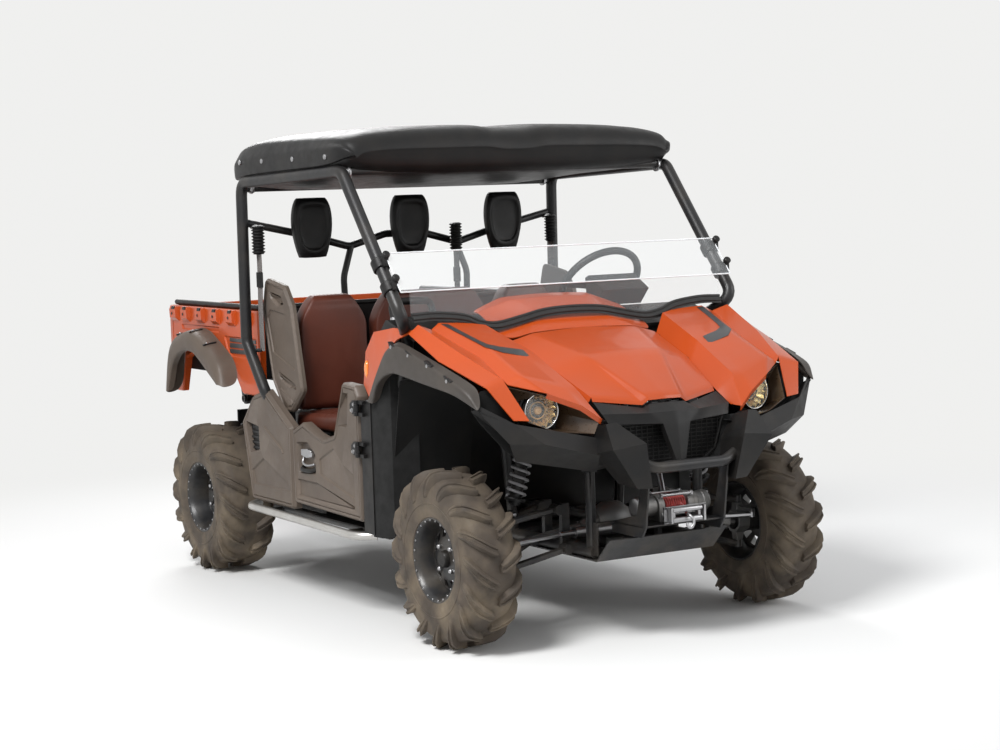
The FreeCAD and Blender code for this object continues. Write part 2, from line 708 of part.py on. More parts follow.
def floor_pan():
    """Moulded cab floor with a centre tunnel and a sloped toe board up to the dashboard."""
    top = FLOOR_Z + FLOOR_WALL
    floor = box(-700, 700, TOE_Y, 60, FLOOR_Z, top)
    toe = strip([(TOE_Y, FLOOR_Z), (-600, 620), (-655, 920)], FLOOR_WALL, -640, 640)
    tunnel = box(-50, 50, -560, 60, FLOOR_Z, TUNNEL_TOP)
    hollow = box(-45, 45, -700, 70, FLOOR_Z - 10, TUNNEL_TOP - 5)
    ahead = prism_x([(TOE_Y - 1, FLOOR_Z - 20), (-601, 620), (-700, 620), (-700, FLOOR_Z - 20)], -60, 60)
    above = box(-700, 700, -700, -600, DASH_LOW_Z - SEAT_GAP, 1000)
    whole = fuse(cut(fuse(floor, toe), hollow), cut(tunnel, hollow, ahead))
    return cut(whole, above, pair(cage_space()))


TUNNEL_TOP = 412.0
DASH_LOW_Z = 900.0


@cache
def seat_base():
    """Moulded box under the seats, open below and behind the engine."""
    outer = box(-660, 660, 20, 560, FLOOR_Z + FLOOR_WALL + SEAT_GAP, SEAT_BASE_Z)
    inner = box(-654, 654, 26, 554, FLOOR_Z - 1, SEAT_BASE_Z - 6)
    engine_bay = box(-230, 230, 540, 570, FLOOR_Z - 1, 640)
    tunnel = box(-51, 51, 10, 61, FLOOR_Z - 1, TUNNEL_TOP + 1)
    return cut(outer, inner, engine_bay, tunnel, pair(cage_space()))


# Cage, roof and glass

def pillar_point(z, forward=0.0):
    """Point on the left front pillar's axis at a height, moved forward square to it."""
    (x0, y0, z0), (x1, y1, z1) = PILLAR_FOOT, PILLAR_TOP
    t = (z - z0) / (z1 - z0)
    slope = V(0, y1 - y0, z1 - z0).normalize()
    return (x0 + t * (x1 - x0), y0 + t * (y1 - y0) - forward * slope.z, z + forward * slope.y)


def cage_path():
    return [
        (ROCKER_X + 10, -470, CAGE_FOOT_Z), (652, -640, 900), (668, -745, 1105), PILLAR_FOOT,
        PILLAR_TOP, RAIL_FRONT_TOP, (REAR_PILLAR_X, REAR_PILLAR_Y - 10, REAR_RAIL_Z),
        (REAR_PILLAR_X, REAR_PILLAR_Y, 1050), (REAR_PILLAR_X - 30, 400, 830),
        (ROCKER_X + 10, 400, CAGE_FOOT_Z),
    ]


@cache
def cage_side():
    """Left hoop of the cage: front pillar, roof rail and rear pillar in one bent tube."""
    return largest(cut(bent_tube(cage_path(), CAGE_R, 45, CAGE_SIDES), frame_tubes()))


@cache
def cage_space():
    """The room that panels leave around the left hoop."""
    return bent_tube(cage_path(), CAGE_R + SEAT_GAP, 45, CAGE_SIDES)


# Body panels: corners are named, and each row of a table is (name, x, y, z) on the left side

FENDER_POINTS = {
    "foot_rear": (346, -905, 1080), "foot_mid": (318, -1150, 996), "foot_front": (286, -1368, 892),
    "crown_rear": (480, -850, 1160), "crown_mid": (432, -1130, 1068), "crown_front": (392, -1388, 945),
    "edge_rear": (600, -860, 1166), "edge_mid": (545, -1130, 1078), "edge_front": (545, -1345, 990),
    "valley_rear": (640, -876, 1150), "valley_mid": (590, -1130, 1058), "valley_front": (596, -1336, 972),
    "band_rear": (704, -892, 1166), "band_mid": (668, -1130, 1072), "band_front": (612, -1330, 984),
    "beak_tip": (307, -1494, 832), "beak_foot": (296, -1440, 840), "beak_low": (375, -1470, 884),
    "beak_high": (485, -1418, 932), "rim_rear": (738, -880, 1136), "rim_mid": (740, -1100, 1048),
    "rim_front": (690, -1350, 962), "tip_in": (570, -1432, 845), "tip_out": (628, -1424, 850),
}
FENDER_FACES = [
    "foot_rear crown_rear crown_mid foot_mid", "foot_mid crown_mid crown_front foot_front",
    "crown_rear edge_rear edge_mid crown_mid", "crown_mid edge_mid edge_front crown_front",
    "edge_rear valley_rear valley_mid edge_mid", "edge_mid valley_mid valley_front edge_front",
    "valley_rear band_rear band_mid valley_mid", "valley_mid band_mid band_front valley_front",
    "band_rear rim_rear rim_mid band_mid", "band_mid rim_mid rim_front band_front",
    "band_front rim_front tip_out tip_in", "foot_front crown_front beak_tip beak_foot",
    "crown_front beak_low beak_tip", "crown_front edge_front beak_high beak_low",
    "edge_front valley_front beak_high",
]


@cache
def front_fenders():
    """Painted front wings: a raised block beside the hood and an outer band over the wheel."""
    wing = panel(FENDER_POINTS, FENDER_FACES, PANEL_WALL, (500, -1100, 700))
    side = panel({"a": (706, -870, 1146), "b": (704, -700, 1150), "c": (708, -545, 1128),
                  "d": (712, -480, 1050), "e": (718, -466, 925), "f": (740, -560, 872),
                  "g": (742, -640, 965), "h": (742, -735, 1080), "i": (740, -790, 1112)},
                 ["a b h i", "b c g h", "c d g", "d e f g"], PANEL_WALL, (500, -700, 1000))
    return pair(Part.makeCompound([wing, cut(side, cage_space())]))


HOOD_POINTS = {
    "rear_mid": (0, -915, 1122), "rear_ridge": (235, -925, 1110), "rear_edge": (330, -915, 1084),
    "mid_mid": (0, -1180, 1040), "mid_ridge": (168, -1185, 1034), "mid_edge": (306, -1160, 1000),
    "front_mid": (0, -1442, 894), "notch": (74, -1438, 892), "front_ridge": (98, -1433, 876),
    "front_edge": (270, -1370, 900),
}
HOOD_FACES = [
    "rear_mid rear_ridge mid_ridge mid_mid", "rear_ridge rear_edge mid_edge mid_ridge",
    "mid_mid mid_ridge notch front_mid", "mid_ridge front_ridge notch",
    "mid_ridge mid_edge front_edge front_ridge",
]


def both_sides(points, faces):
    """A whole panel from the corners of its left half; corners at x = 0 are shared."""
    whole = dict(points)
    other = {}
    for name, (x, y, z) in points.items():
        other[name] = name if x == 0 else name + "_right"
        whole[other[name]] = (-x, y, z)
    mirrored_faces = [" ".join(other[n] for n in names.split()) for names in faces]
    return whole, faces + mirrored_faces


def hood():
    """Painted hood with a raised centre, and two knuckles under its front edge."""
    points, faces = both_sides(HOOD_POINTS, HOOD_FACES)
    shell = panel(points, faces, PANEL_WALL, (0, -1150, 500))
    y, z = HOOD_PIVOT
    knuckles = []
    for x in (-40, 40):
        knuckles.append(pole(HOOD_PIN_R + 4, 28, V(x - 14, y, z), V(1, 0, 0)))
        knuckles.append(prism_x([(y + 6, z), (y + 14, z + 30), (y, z + 26), (y - 6, z)], x - 14, x + 14))
    bores = [bore(HOOD_PIN_R, 40, V(x - 20, y, z), V(1, 0, 0)) for x in (-40, 40)]
    return cut(fuse(shell, *knuckles), *bores)


COWL_POINTS = {
    "front_mid": (0, -905, 1124), "front_ridge": (236, -915, 1112), "front_edge": (334, -905, 1086),
    "seal_mid": (0, -812, 1180), "seal_hump": (126, -820, 1174), "seal_dip": (336, -815, 1134),
    "crest_mid": (0, -700, 1234), "crest_side": (190, -700, 1226), "crest_edge": (322, -670, 1186),
    "top_mid": (0, -640, 1244), "top_side": (200, -640, 1234), "top_edge": (330, -620, 1182),
}
COWL_FACES = [
    "front_mid front_ridge seal_hump seal_mid", "front_ridge front_edge seal_dip seal_hump",
    "seal_mid seal_hump crest_side crest_mid", "seal_hump seal_dip crest_edge crest_side",
    "crest_mid crest_side top_side top_mid", "crest_side crest_edge top_edge top_side",
]


@cache
def dash_cowl():
    """Painted centre of the scuttle, raised in facets in front of the dashboard."""
    points, faces = both_sides(COWL_POINTS, COWL_FACES)
    return panel(points, faces, PANEL_WALL, (0, -800, 600))


FASCIA_POINTS = {
    "hood_mid": (0, -1452, 876), "hood_notch": (76, -1448, 874), "hood_ridge": (100, -1442, 860),
    "hood_edge": (272, -1384, 884), "nose_mid": (0, -1510, 842), "nose_ridge": (112, -1500, 840),
    "nose_edge": (280, -1452, 846), "lip_mid": (0, -1522, 790), "lip_ridge": (60, -1514, 800),
    "lip_edge": (262, -1470, 808), "stem_low": (0, -1540, 668), "stem_side": (22, -1536, 670),
}
FASCIA_FACES = [
    "hood_mid hood_notch nose_ridge nose_mid", "hood_notch hood_ridge nose_ridge",
    "hood_ridge hood_edge nose_edge nose_ridge",
    "nose_mid nose_ridge lip_ridge lip_mid", "nose_ridge nose_edge lip_edge lip_ridge",
    "lip_mid lip_ridge stem_side stem_low",
]


@cache
def front_fascia():
    """Dark nose under the hood's front edge, with a stem between the two grille openings."""
    points, faces = both_sides(FASCIA_POINTS, FASCIA_FACES)
    return panel(points, faces, PANEL_WALL, (0, -1300, 700))


def grille():
    """Frame with upright and level bars behind the nose."""
    y0, y1 = GRILLE_BACK_Y - 8, GRILLE_BACK_Y
    outline = [(-236, 800), (236, 800), (200, 690), (150, 656), (-150, 656), (-200, 690)]
    inner = [(-222, 790), (222, 790), (190, 698), (146, 666), (-146, 666), (-190, 698)]
    ring = cut(prism_y(outline, y0, y1), prism_y(inner, y0 - 1, y1 + 1))
    window = prism_y(inner, y0, y1)
    bars = [box(-230, 230, y0 + 1, y0 + 4, z - 2.5, z + 2.5) for z in range(684, 790, 20)]
    bars += [box(x - 2.5, x + 2.5, y0 + 4, y1 - 1, 660, 795) for x in range(-180, 181, 36)]
    return Part.makeCompound([ring] + [bar.common(window).Solids[0] for bar in bars])


GRILLE_BACK_Y = -1458.0


WING_POINTS = {
    "tip_top": (743, -1360, 900), "tip_low": (744, -1368, 866), "crown_out": (628, -1432, 838),
    "crown_in": (330, -1492, 770), "crease_out": (650, -1428, 768), "crease_mid": (543, -1488, 764),
    "crease_in": (345, -1530, 712), "under_out": (600, -1380, 700), "under_in": (300, -1440, 640),
}
WING_FACES = [
    "tip_top crown_out crease_out tip_low", "crown_out crown_in crease_in crease_mid",
    "crown_out crease_mid crease_out", "crease_out crease_mid under_out",
    "crease_mid crease_in under_in under_out",
]
LOBE_POINTS = {
    "back_top": (318, -1462, 812), "back_top_in": (282, -1466, 800), "top_out": (330, -1550, 822),
    "top_in": (290, -1556, 826), "knee_out": (348, -1622, 738), "knee_in": (214, -1630, 752),
    "low_out": (240, -1606, 590), "low_in": (182, -1615, 588), "back_out": (352, -1500, 715),
    "back_low": (250, -1500, 600), "back_in": (206, -1500, 730), "back_low_in": (182, -1510, 590),
}
LOBE_FACES = [
    "back_top top_out top_in back_top_in", "top_out knee_out knee_in top_in",
    "knee_out low_out low_in knee_in", "back_top back_out knee_out top_out",
    "back_out back_low low_out knee_out", "back_top_in top_in knee_in back_in",
    "back_in knee_in low_in back_low_in",
]


def bumper_cover():
    """Moulded bumper: a swept wing under each lamp and a lobe beside the grille."""
    wing = panel(WING_POINTS, WING_FACES, PANEL_WALL, (450, -1300, 850))
    lobe = cut(panel(LOBE_POINTS, LOBE_FACES, PANEL_WALL, (270, -1510, 700)), guard_tube(BAR_R + SEAT_GAP))
    return fuse(wing, lobe)


BAR_R = 17.0
BAR_Y = -1592.0
BAR_Z = 655.0


def guard_tube(radius):
    path = [(262, NOSE_TUBE_Y, 640), (262, -1560, 700), (150, BAR_Y, BAR_Z),
            (-150, BAR_Y, BAR_Z), (-262, -1560, 700), (-262, NOSE_TUBE_Y, 640)]
    return bent_tube(path, radius, 40)


TRAY_TOP = 442.0


def bumper_bar():
    """Front guard: cross bar returned to the frame, two plates and the winch tray."""
    plates = []
    for s in (-1, 1):
        outline = [(BAR_Y + 6, BAR_Z), (BAR_Y + 44, BAR_Z), (-1500, 470), (-1340, 440),
                   (-1340, 400), (-1530, 400)]
        plate = prism_x(outline, 168, 176)
        plates.append(plate if s > 0 else mirrored(plate))
    tray = box(-176, 176, -1540, -1340, TRAY_TOP - 6, TRAY_TOP)
    feet = [box(x, x + 6, -1360, RAIL_FRONT_Y - SEAT_GAP, 320, 442) for x in (-252, 246)]
    shelf = box(-252, 252, -1360, -1340, 432, 442)
    return cut(fuse(guard_tube(BAR_R), *plates, tray, *feet, shelf), frame_tubes())


WINCH_Y = -1462.0
WINCH_Z = 498.0


def winch():
    """Winch across the nose: motor, rope drum, gear case, tie bars and a roller fairlead."""
    y, z = WINCH_Y, WINCH_Z
    motor = turned_x([(-160, 0), (-160, 34), (-154, 38), (-70, 38), (-70, 0)], 0, y, z)
    post = box(-76, -52, y - 40, y + 40, TRAY_TOP + SEAT_GAP, z + 44)
    drum = turned_x([(-52, 0), (-52, 26), (52, 26), (52, 0)], 0, y, z)
    rope = turned_x([(-46, 20), (-46, 36), (-40, 39), (40, 39), (46, 36), (46, 20)], 0, y, z)
    gear_post = box(52, 76, y - 40, y + 40, TRAY_TOP + SEAT_GAP, z + 44)
    gear = turned_x([(70, 0), (70, 38), (150, 38), (160, 30), (160, 0)], 0, y, z)
    ties = [rod((-60, y + dy, z + 38), (60, y + dy, z + 38), 5) for dy in (-34, 34)]
    fairlead = box(-92, 92, -1552, -1546, 448, 500)
    opening = box(-60, 60, -1560, -1540, 460, 488)
    rollers = [rod((-70, -1563, rz), (70, -1563, rz), 9) for rz in (456, 492)]
    ends = [box(x - 5, x + 5, -1574, -1546, 446, 502) for x in (-72, 72)]
    stand = [box(x - 4, x + 4, -1546, y - 38, 450, 470) for x in (-64, 64)]
    return fuse(motor, post, drum, rope, gear_post, gear, *ties, cut(fairlead, opening),
                *rollers, *ends, *stand)


LAMP = (465.0, -1356.0, 862.0)
LAMP_R = 66.0


def lamp_tool(radius, length, back=0.0):
    """Cylinder along the lamp's axis, which points forward and slightly outward."""
    x, y, z = LAMP
    axis = V(0.12, -1, 0)
    return pole(radius, length, V(x, y, z) - axis * back, axis)


LAMP_MOUTH = [(598, -1336, 958), (480, -1402, 922), (372, -1460, 876), (314, -1484, 826),
              (334, -1482, 784), (470, -1446, 800), (566, -1420, 840)]
LAMP_BACK_Y = -1330
LAMP_BACK = [(555, LAMP_BACK_Y, 900), (480, LAMP_BACK_Y, 925), (400, LAMP_BACK_Y, 905),
             (385, LAMP_BACK_Y, 850), (400, LAMP_BACK_Y, 800), (470, LAMP_BACK_Y, 790),
             (540, LAMP_BACK_Y, 810)]


def lamp_buckets():
    """Dark housings around the lamps, open to the front between wing and bumper."""
    wall = 3.0
    mouth = [V(*p) for p in LAMP_MOUTH]
    back = [V(*p) for p in LAMP_BACK]

    def inset(ring, shift):
        middle = sum(ring, V(0, 0, 0)) * (1 / len(ring))
        return [p + (middle - p).normalize() * wall + V(0, shift, 0) for p in ring]

    shell = cut(skin([mouth, back], False), skin([inset(mouth, -8), inset(back, -wall)], False))
    return cut(shell, lamp_tool(LAMP_R + 0.3, 200, 100))


def headlights():
    """Round reflectors with a bulb shield."""
    bowl = cut(lamp_tool(LAMP_R, 58, 20), lamp_tool(LAMP_R - 3, 58, 14))
    bulb = lamp_tool(12, 30, 17)
    return fuse(bowl, bulb)


def headlight_lenses():
    return lamp_tool(LAMP_R - 3.3, 5, -32)


FLARE_STATIONS = [
    # top edge x, y, z, outer x, lower edge y, z
    (720, -560, 880, 756, -600, 862),
    (722, -650, 985, 766, -662, 940),
    (742, -742, 1078, 773, -738, 976),
    (742, -812, 1110, 774, -806, 989),
    (744, -1095, 1044, 775, -1022, 961),
    (712, -1346, 962, 773, -1231, 927),
    (636, -1424, 856, 752, -1352, 862),
]


def front_flares():
    """Soft-edged arch extensions, from behind the wheel to the bumper's wing."""
    points, faces = {}, []
    for i, (tx, ty, tz, ox, ly, lz) in enumerate(FLARE_STATIONS):
        points["top%d" % i] = (tx, ty, tz)
        points["side%d" % i] = (ox, ty, tz - 12)
        points["low%d" % i] = (ox, ly, lz)
        points["lip%d" % i] = (ox - 30, ly, lz + 4)
    for i in range(len(FLARE_STATIONS) - 1):
        for a, b in (("top", "side"), ("side", "low"), ("low", "lip")):
            faces.append("%s%d %s%d %s%d %s%d" % (a, i, b, i, b, i + 1, a, i + 1))
    return cut(pair(cut(panel(points, faces, PANEL_WALL, (690, -1000, 900)), cage_space())), front_fenders())


@cache
def wheel_liners():
    """Inner arches that close the cab and the nose off from the wheel."""
    path = [(-520, 352), (-650, 600), (-722, 950), (-850, 978), (-1290, 896)]
    return pair(cut(strip(path, 3.0, 365, 698), cage_space()))


# Roof and cab

ROOF_SECTIONS = [
    # y, half width, edge z (None rests on the cage), shoulder x, shoulder z, crown z
    (-478, 700, 1826, 690, 1842, 1846),
    (-440, 768, 1796, 735, 1868, 1902),
    (-300, 782, None, 752, 1888, 1918),
    (300, 782, None, 756, 1890, 1922),
    (520, 776, None, 748, 1862, 1904),
    (604, 720, 1776, 700, 1812, 1846),
]
ROOF_HEM = 36.0


def roof_rest(y):
    """Height at which the roof's hem rests on the cage's side rail."""
    (x0, y0, z0), y1, z1 = RAIL_FRONT_TOP, REAR_PILLAR_Y - 10, REAR_RAIL_Z
    return z0 + (z1 - z0) * (y - y0) / (y1 - y0) + CAGE_R + SEAT_GAP


def roof():
    """Moulded roof: a shallow dome with two raised lobes along it, deep sides and a hem."""
    points, faces = {}, []
    columns = ["mid", "inner", "outer", "shoulder", "edge", "hem"]
    for i, (y, edge_x, edge_z, x, z, crown) in enumerate(ROOF_SECTIONS):
        low = roof_rest(y) if edge_z is None else edge_z
        points["mid%d" % i] = (0, y, crown - 10)
        points["inner%d" % i] = (x * 0.3, y, crown)
        points["outer%d" % i] = (x * 0.72, y, z + (crown - z) * 0.75)
        points["shoulder%d" % i] = (x, y, z)
        points["edge%d" % i] = (edge_x, y, low)
        points["hem%d" % i] = (edge_x - ROOF_HEM, y, low)
    for i in range(len(ROOF_SECTIONS) - 1):
        for a, b in zip(columns, columns[1:]):
            if b != "hem" or 1 < i < 4:
                faces.append("%s%d %s%d %s%d %s%d" % (a, i, b, i, b, i + 1, a, i + 1))
    used = {name for names in faces for name in names.split()}
    points, faces = both_sides({n: points[n] for n in used}, faces)
    return panel(points, faces, ROOF_WALL, (0, 50, 1200))


@cache
def cage_cross():
    """Cross tubes of the cage and the head restraint bar with its two legs."""
    x_front, y_front, z_front = PILLAR_TOP
    front = rod((-x_front, y_front + 22, z_front), (x_front, y_front + 22, z_front), 19)
    rear = rod((-REAR_PILLAR_X, REAR_PILLAR_Y - 6, REAR_RAIL_Z - 20),
               (REAR_PILLAR_X, REAR_PILLAR_Y - 6, REAR_RAIL_Z - 20), 19)
    y = REAR_PILLAR_Y
    path = [(REAR_PILLAR_X, y, 1551), (SEAT_X, y, 1486), (270, y, 1430), (90, y, 1478),
            (-90, y, 1478), (-270, y, 1430), (-SEAT_X, y, 1486), (-REAR_PILLAR_X, y, 1551)]
    bar = bent_tube(path, 16, 60)
    legs = [bent_tube([(s * 270, y - 4, 1430), (s * 275, y - 14, 1200), (s * 290, y - 10, SEAT_BASE_Z - 3)], 14, 120)
            for s in (-1, 1)]
    return cut(fuse(front, rear, bar, *legs), pair(cage_side()), seat_base())


def headrests():
    """Three padded head restraints with tapered lower halves, hung from the bar."""
    outline = [(-52, 128), (52, 128), (74, 90), (78, -10), (44, -124), (-44, -124), (-78, -10), (-74, 90)]
    y = REAR_PILLAR_Y - 62
    pads = []
    for x in (-SEAT_X, 0, SEAT_X):
        ring = [(x + dx, HEADREST_Z + dz) for dx, dz in outline]
        hanger = largest(cut(box(x - 24, x + 24, y + 22, REAR_PILLAR_Y, 1470, 1530), cage_cross()))
        pads.append(fuse(prism_y(ring, y - 22, y + 22), hanger))
    return Part.makeCompound(pads)


HEADREST_Z = 1516.0


BELT_X = 722.0
BELT_TOP_Z = 1536.0
BELT_RIBS = 5
RIB_PITCH = 24


def seat_belts():
    """Ribbed retractor boots held on the bar, with the webbing down to its lower anchor."""
    made = []
    y = REAR_PILLAR_Y - 62
    for x, top, low in ((-BELT_X, BELT_TOP_Z, 1000), (228, BELT_TOP_Z - 20, SEAT_BASE_Z + SEAT_GAP),
                        (BELT_X, BELT_TOP_Z, 1000)):
        profile = [(0, 0)]
        for i in range(BELT_RIBS):
            d = RIB_PITCH * i
            profile += [(d, 22), (d + RIB_PITCH / 2, 28)]
        profile.append((profile[-1][0], 0))
        boot = turned(profile, (x, y, top), V(0, 0, -1), TUBE_SIDES)
        web = box(x - 1.5, x + 1.5, y - 23, y + 23, low, top - profile[-1][0])
        hold_z = top - 6 if abs(x) > 300 else 1442
        hold = rod((x, y, hold_z), (x, REAR_PILLAR_Y, hold_z), 9, 6)
        joined = [boot, web, hold]
        if abs(x) > 300:
            anchor = (math.copysign(REAR_PILLAR_X, x), REAR_PILLAR_Y, low + 12)
            joined.append(rod((x, y + 10, low + 12), anchor, 8, 6))
        made.append(cut(fuse(*joined), cage_cross(), pair(cage_side())))
    return made


WINDSHIELD_FORWARD = 49.0
WINDSHIELD_WALL = 5.0
SEAL_HEIGHT = 18.0
SEAL_PATH = [(0, 1184), (126, 1178), (230, 1158), (336, 1140), (410, 1150), (480, 1176), (600, 1190), (702, 1188)]


def seal_line(rise):
    """The seal's path across the whole scuttle, raised by an amount."""
    half = [(x, z + rise) for x, z in SEAL_PATH]
    return [(-x, z) for x, z in reversed(half[1:])] + half


def windshield():
    """Clear half-height screen: an upper sheet held on the pillars and a lower sheet on the seal."""
    top = pillar_point(1397, WINDSHIELD_FORWARD)
    low = pillar_point(1256, WINDSHIELD_FORWARD)
    upper = strip([(top[1], top[2]), (low[1], low[2])], WINDSHIELD_WALL, -752, 752)
    outline = seal_line(SEAL_HEIGHT + SEAT_GAP) + [(704, low[2] - 4), (-704, low[2] - 4)]
    lower = prism_y(outline, -838, -834)
    return Part.makeCompound([upper, lower])


def windshield_clamps():
    """Clamps round the pillars with a knob each."""
    made = []
    for z in (1385, 1300):
        centre = V(*pillar_point(z))
        axis = (V(*PILLAR_TOP) - V(*PILLAR_FOOT)).normalize()
        forward = V(0, -axis.z, axis.y)
        ring = pole(CAGE_R + 7, 44, centre - axis * 22, axis)
        tab = pole(11, WINDSHIELD_FORWARD - SEAT_GAP, centre, forward)
        knob = pole(14, 20, centre + forward * (WINDSHIELD_FORWARD + WINDSHIELD_WALL + SEAT_GAP), forward,
                    TUBE_SIDES)
        made.append(cut(fuse(ring, tab), bore(CAGE_R, 60, centre - axis * 30, axis)))
        made.append(knob)
    return pair(Part.makeCompound(made))


def cowl_seal():
    """Rubber lip that follows the scuttle under the screen."""
    half = [(126, 1160), (336, 1122), (340, 1100), (702, 1100)]
    low = half[::-1] + [(-x, z) for x, z in half]
    band = prism_y(seal_line(SEAL_HEIGHT) + low, -842, -818)
    return largest(cut(band, dash_cowl(), dashboard(), pair(cage_space())))


DASH_X = 664.0
SCUTTLE_X = 698.0


@cache
def dashboard():
    """Dash moulding across the cab with bins, a hooded top and a knee panel."""
    profile = [(-640, 1176), (-560, 1170), (-520, 1130), (-515, 1040), (-560, 960), (-640, DASH_LOW_Z),
               (-660, DASH_LOW_Z), (-668, 1100)]
    body = prism_x(profile, -DASH_X, DASH_X)
    bins = [box(x0, x1, -600, -500, 1040, 1120) for x0, x1 in ((-600, -250), (-180, 120))]
    top = prism_x([(-844, 1112), (-640, 1176), (-640, 1166), (-844, 1102)], 342, SCUTTLE_X)
    whole = fuse(cut(body, *bins), top, mirrored(top))
    return cut(whole, column_space(), pair(cage_space()))


def instrument_pod():
    """Hooded instrument housing on the dash in front of the steering wheel."""
    pod = prism_x([(-700, 1242), (-595, 1300), (-570, 1290), (-580, 1178), (-640, 1180)], 240, 460)
    return cut(pod, column_space(), dashboard(), dash_cowl())


WHEEL_CENTRE = (352.0, -505.0, 1262.0)
WHEEL_R = 172.0
COLUMN_TILT = 40.0
COLUMN_R = 24.0


def column_axis():
    tilt = math.radians(COLUMN_TILT)
    return V(0, math.cos(tilt), math.sin(tilt))


def steering_wheel():
    """Three-spoke wheel with a padded hub on its column's axis."""
    centre, axis = V(*WHEEL_CENTRE), column_axis()
    section = []
    for i in range(6):
        turn = math.pi * (2 * i + 1) / 6
        section.append((GRIP_R * math.sin(turn), WHEEL_R + GRIP_R * math.cos(turn)))
    ring = turned(section, centre, axis, 24)
    hub = pole(46, 34, centre - axis * 30, axis)
    across = V(1, 0, 0)
    down = axis.cross(across)
    spokes = []
    for turn in (0, 90, 180):
        t = math.radians(turn)
        direction = across * math.cos(t) + down * math.sin(t)
        spokes.append(pole(11, WHEEL_R - 4, centre - axis * 8, direction, 6))
    return fuse(ring, hub, *spokes)


GRIP_R = 15.0


def column_space():
    """The hole that the dash and the pod leave around the steering column."""
    return pole(COLUMN_R + SEAT_GAP, 240, V(*WHEEL_CENTRE) - column_axis() * 260, column_axis())


def steering_shaft():
    """Column tube, jointed shaft down to the rack, and the rack's housing on the frame."""
    centre, axis = V(*WHEEL_CENTRE), column_axis()
    upper = pole(COLUMN_R, 202 - SEAT_GAP, centre - axis * 232, axis)
    knee = (345, -800, 860)
    joint = centre - axis * 225
    shaft = fuse(rod(tuple(joint), knee, 11), rod(knee, (200, RACK_Y, RACK_Z), 11),
                 pole(15, 30, V(*knee) - V(0, 0, 15)))
    housing = rod((-226, RACK_Y, RACK_Z), (226, RACK_Y, RACK_Z), 22)
    feet = [box(x - 10, x + 10, RACK_Y - 12, RACK_Y + 12, SKID_TOP + SEAT_GAP, RACK_Z) for x in (-150, 150)]
    return cut(fuse(upper, shaft, housing, *feet), bore(11, 480, V(-240, RACK_Y, RACK_Z), V(1, 0, 0)))


RACK_Y = FRONT_AXLE_Y - STEER_ARM
RACK_Z = AXLE_Z + 52.0


def rack_bar():
    """Sliding rack with a tie rod to each steering arm."""
    made = [rod((-290, RACK_Y, RACK_Z), (290, RACK_Y, RACK_Z), 11)]
    for s in (-1, 1):
        made.append(rod((s * 285, RACK_Y, RACK_Z), (s * KINGPIN_X, RACK_Y, TIE_ROD_TOP - 10), 8))
        made.append(pole(11, 20, V(s * KINGPIN_X, RACK_Y, TIE_ROD_TOP - 20)))
    return fuse(*made)


def grab_bar():
    """Padded hand hold on the passenger side of the dash."""
    path = [(-645, -600, 1160), (-645, -575, 1240), (-480, -590, 1240), (-480, -610, 1160)]
    return cut(bent_tube(path, 14, 30), dashboard())


def seat_cushions():
    made = []
    for x, half in ((-SEAT_X, 172), (0, 290), (SEAT_X, 172)):
        y0, y1 = -150, 320
        base, top = SEAT_BASE_Z + SEAT_GAP, SEAT_BACK_Z - SEAT_GAP
        profile = [(y0, base), (y1, base), (y1, top), (200, top), (y0 + 30, top + 20), (y0, top - 12)]
        made.append(prism_x(profile, x - half, x + half))
    return made


def seat_backs():
    made = []
    for x, half in ((-SEAT_X, 172), (0, 290), (SEAT_X, 172)):
        front, rear = 262, 345
        ring = [(x - half, SEAT_BACK_Z), (x + half, SEAT_BACK_Z), (x + half, 1120), (x + half - 50, 1215),
                (x + half - 110, 1240), (x - half + 110, 1240), (x - half + 50, 1215), (x - half, 1120)]
        slab = prism_y(ring, front, rear)
        made.append(slab)
    return made


GUARD_X = 701.0


def shoulder_guards():
    """Upright moulded guards beside the outer seats."""
    outline = [(441, 1317), (262, 1285), (200, 1206), (122, 858), (228, 765), (306, 759),
               (408, 887), (482, 1183)]
    slab = prism_x(outline, GUARD_X - 25, GUARD_X)
    recess = prism_x([(410, 1270), (280, 1250), (262, 1200), (390, 1200)], GUARD_X - 8, GUARD_X + 5)
    recess_low = prism_x([(360, 1140), (250, 1120), (200, 900), (300, 880)], GUARD_X - 4, GUARD_X + 5)
    stay = box(648, GUARD_X - 25, 300, 350, SEAT_BASE_Z + SEAT_GAP, 900)
    return pair(fuse(cut(slab, recess, recess_low), stay))


def side_panels():
    """Lower cab side behind the door, with the intake opening ahead of the rear wheel."""
    outline = [(150, 372), (150, 712), (392, 852), (520, 820), (640, 700), (600, 540), (560, 372)]
    outer = prism_x(outline, DOOR_X - 40, DOOR_X)
    inner = prism_x([(158, 360), (158, 704), (392, 842), (514, 812), (630, 700), (592, 540), (552, 360)],
                    DOOR_X - 41, DOOR_X - PANEL_WALL)
    vent = prism_x([(600, 716), (470, 700), (466, 585), (560, 562)], DOOR_X - 60, DOOR_X + 10)
    return pair(cut(outer, inner, vent, cage_space()))


def step_bars():
    """Side steps: a tube outboard of the sill with two stays to the rocker tube."""
    bar = bent_tube([(680, 640, 342), (742, 600, 340), (742, -400, 330), (680, -440, 330)], 17, 30, CAGE_SIDES)
    stays = [rod((ROCKER_X + ROCKER_R - 3, y, 334), (732, y, 334), 9) for y in (-300, 450)]
    return cut(pair(fuse(bar, *stays)), frame_tubes())


# Doors

DOOR_LINE = [
    (DOOR_FRONT_Y, 392), (DOOR_REAR_Y - 4, 404), (DOOR_REAR_Y, 700), (40, 742), (-70, 706),
    (-150, 690), (-240, 712), (-330, 926), (-440, 920), (DOOR_FRONT_Y, 880),
]


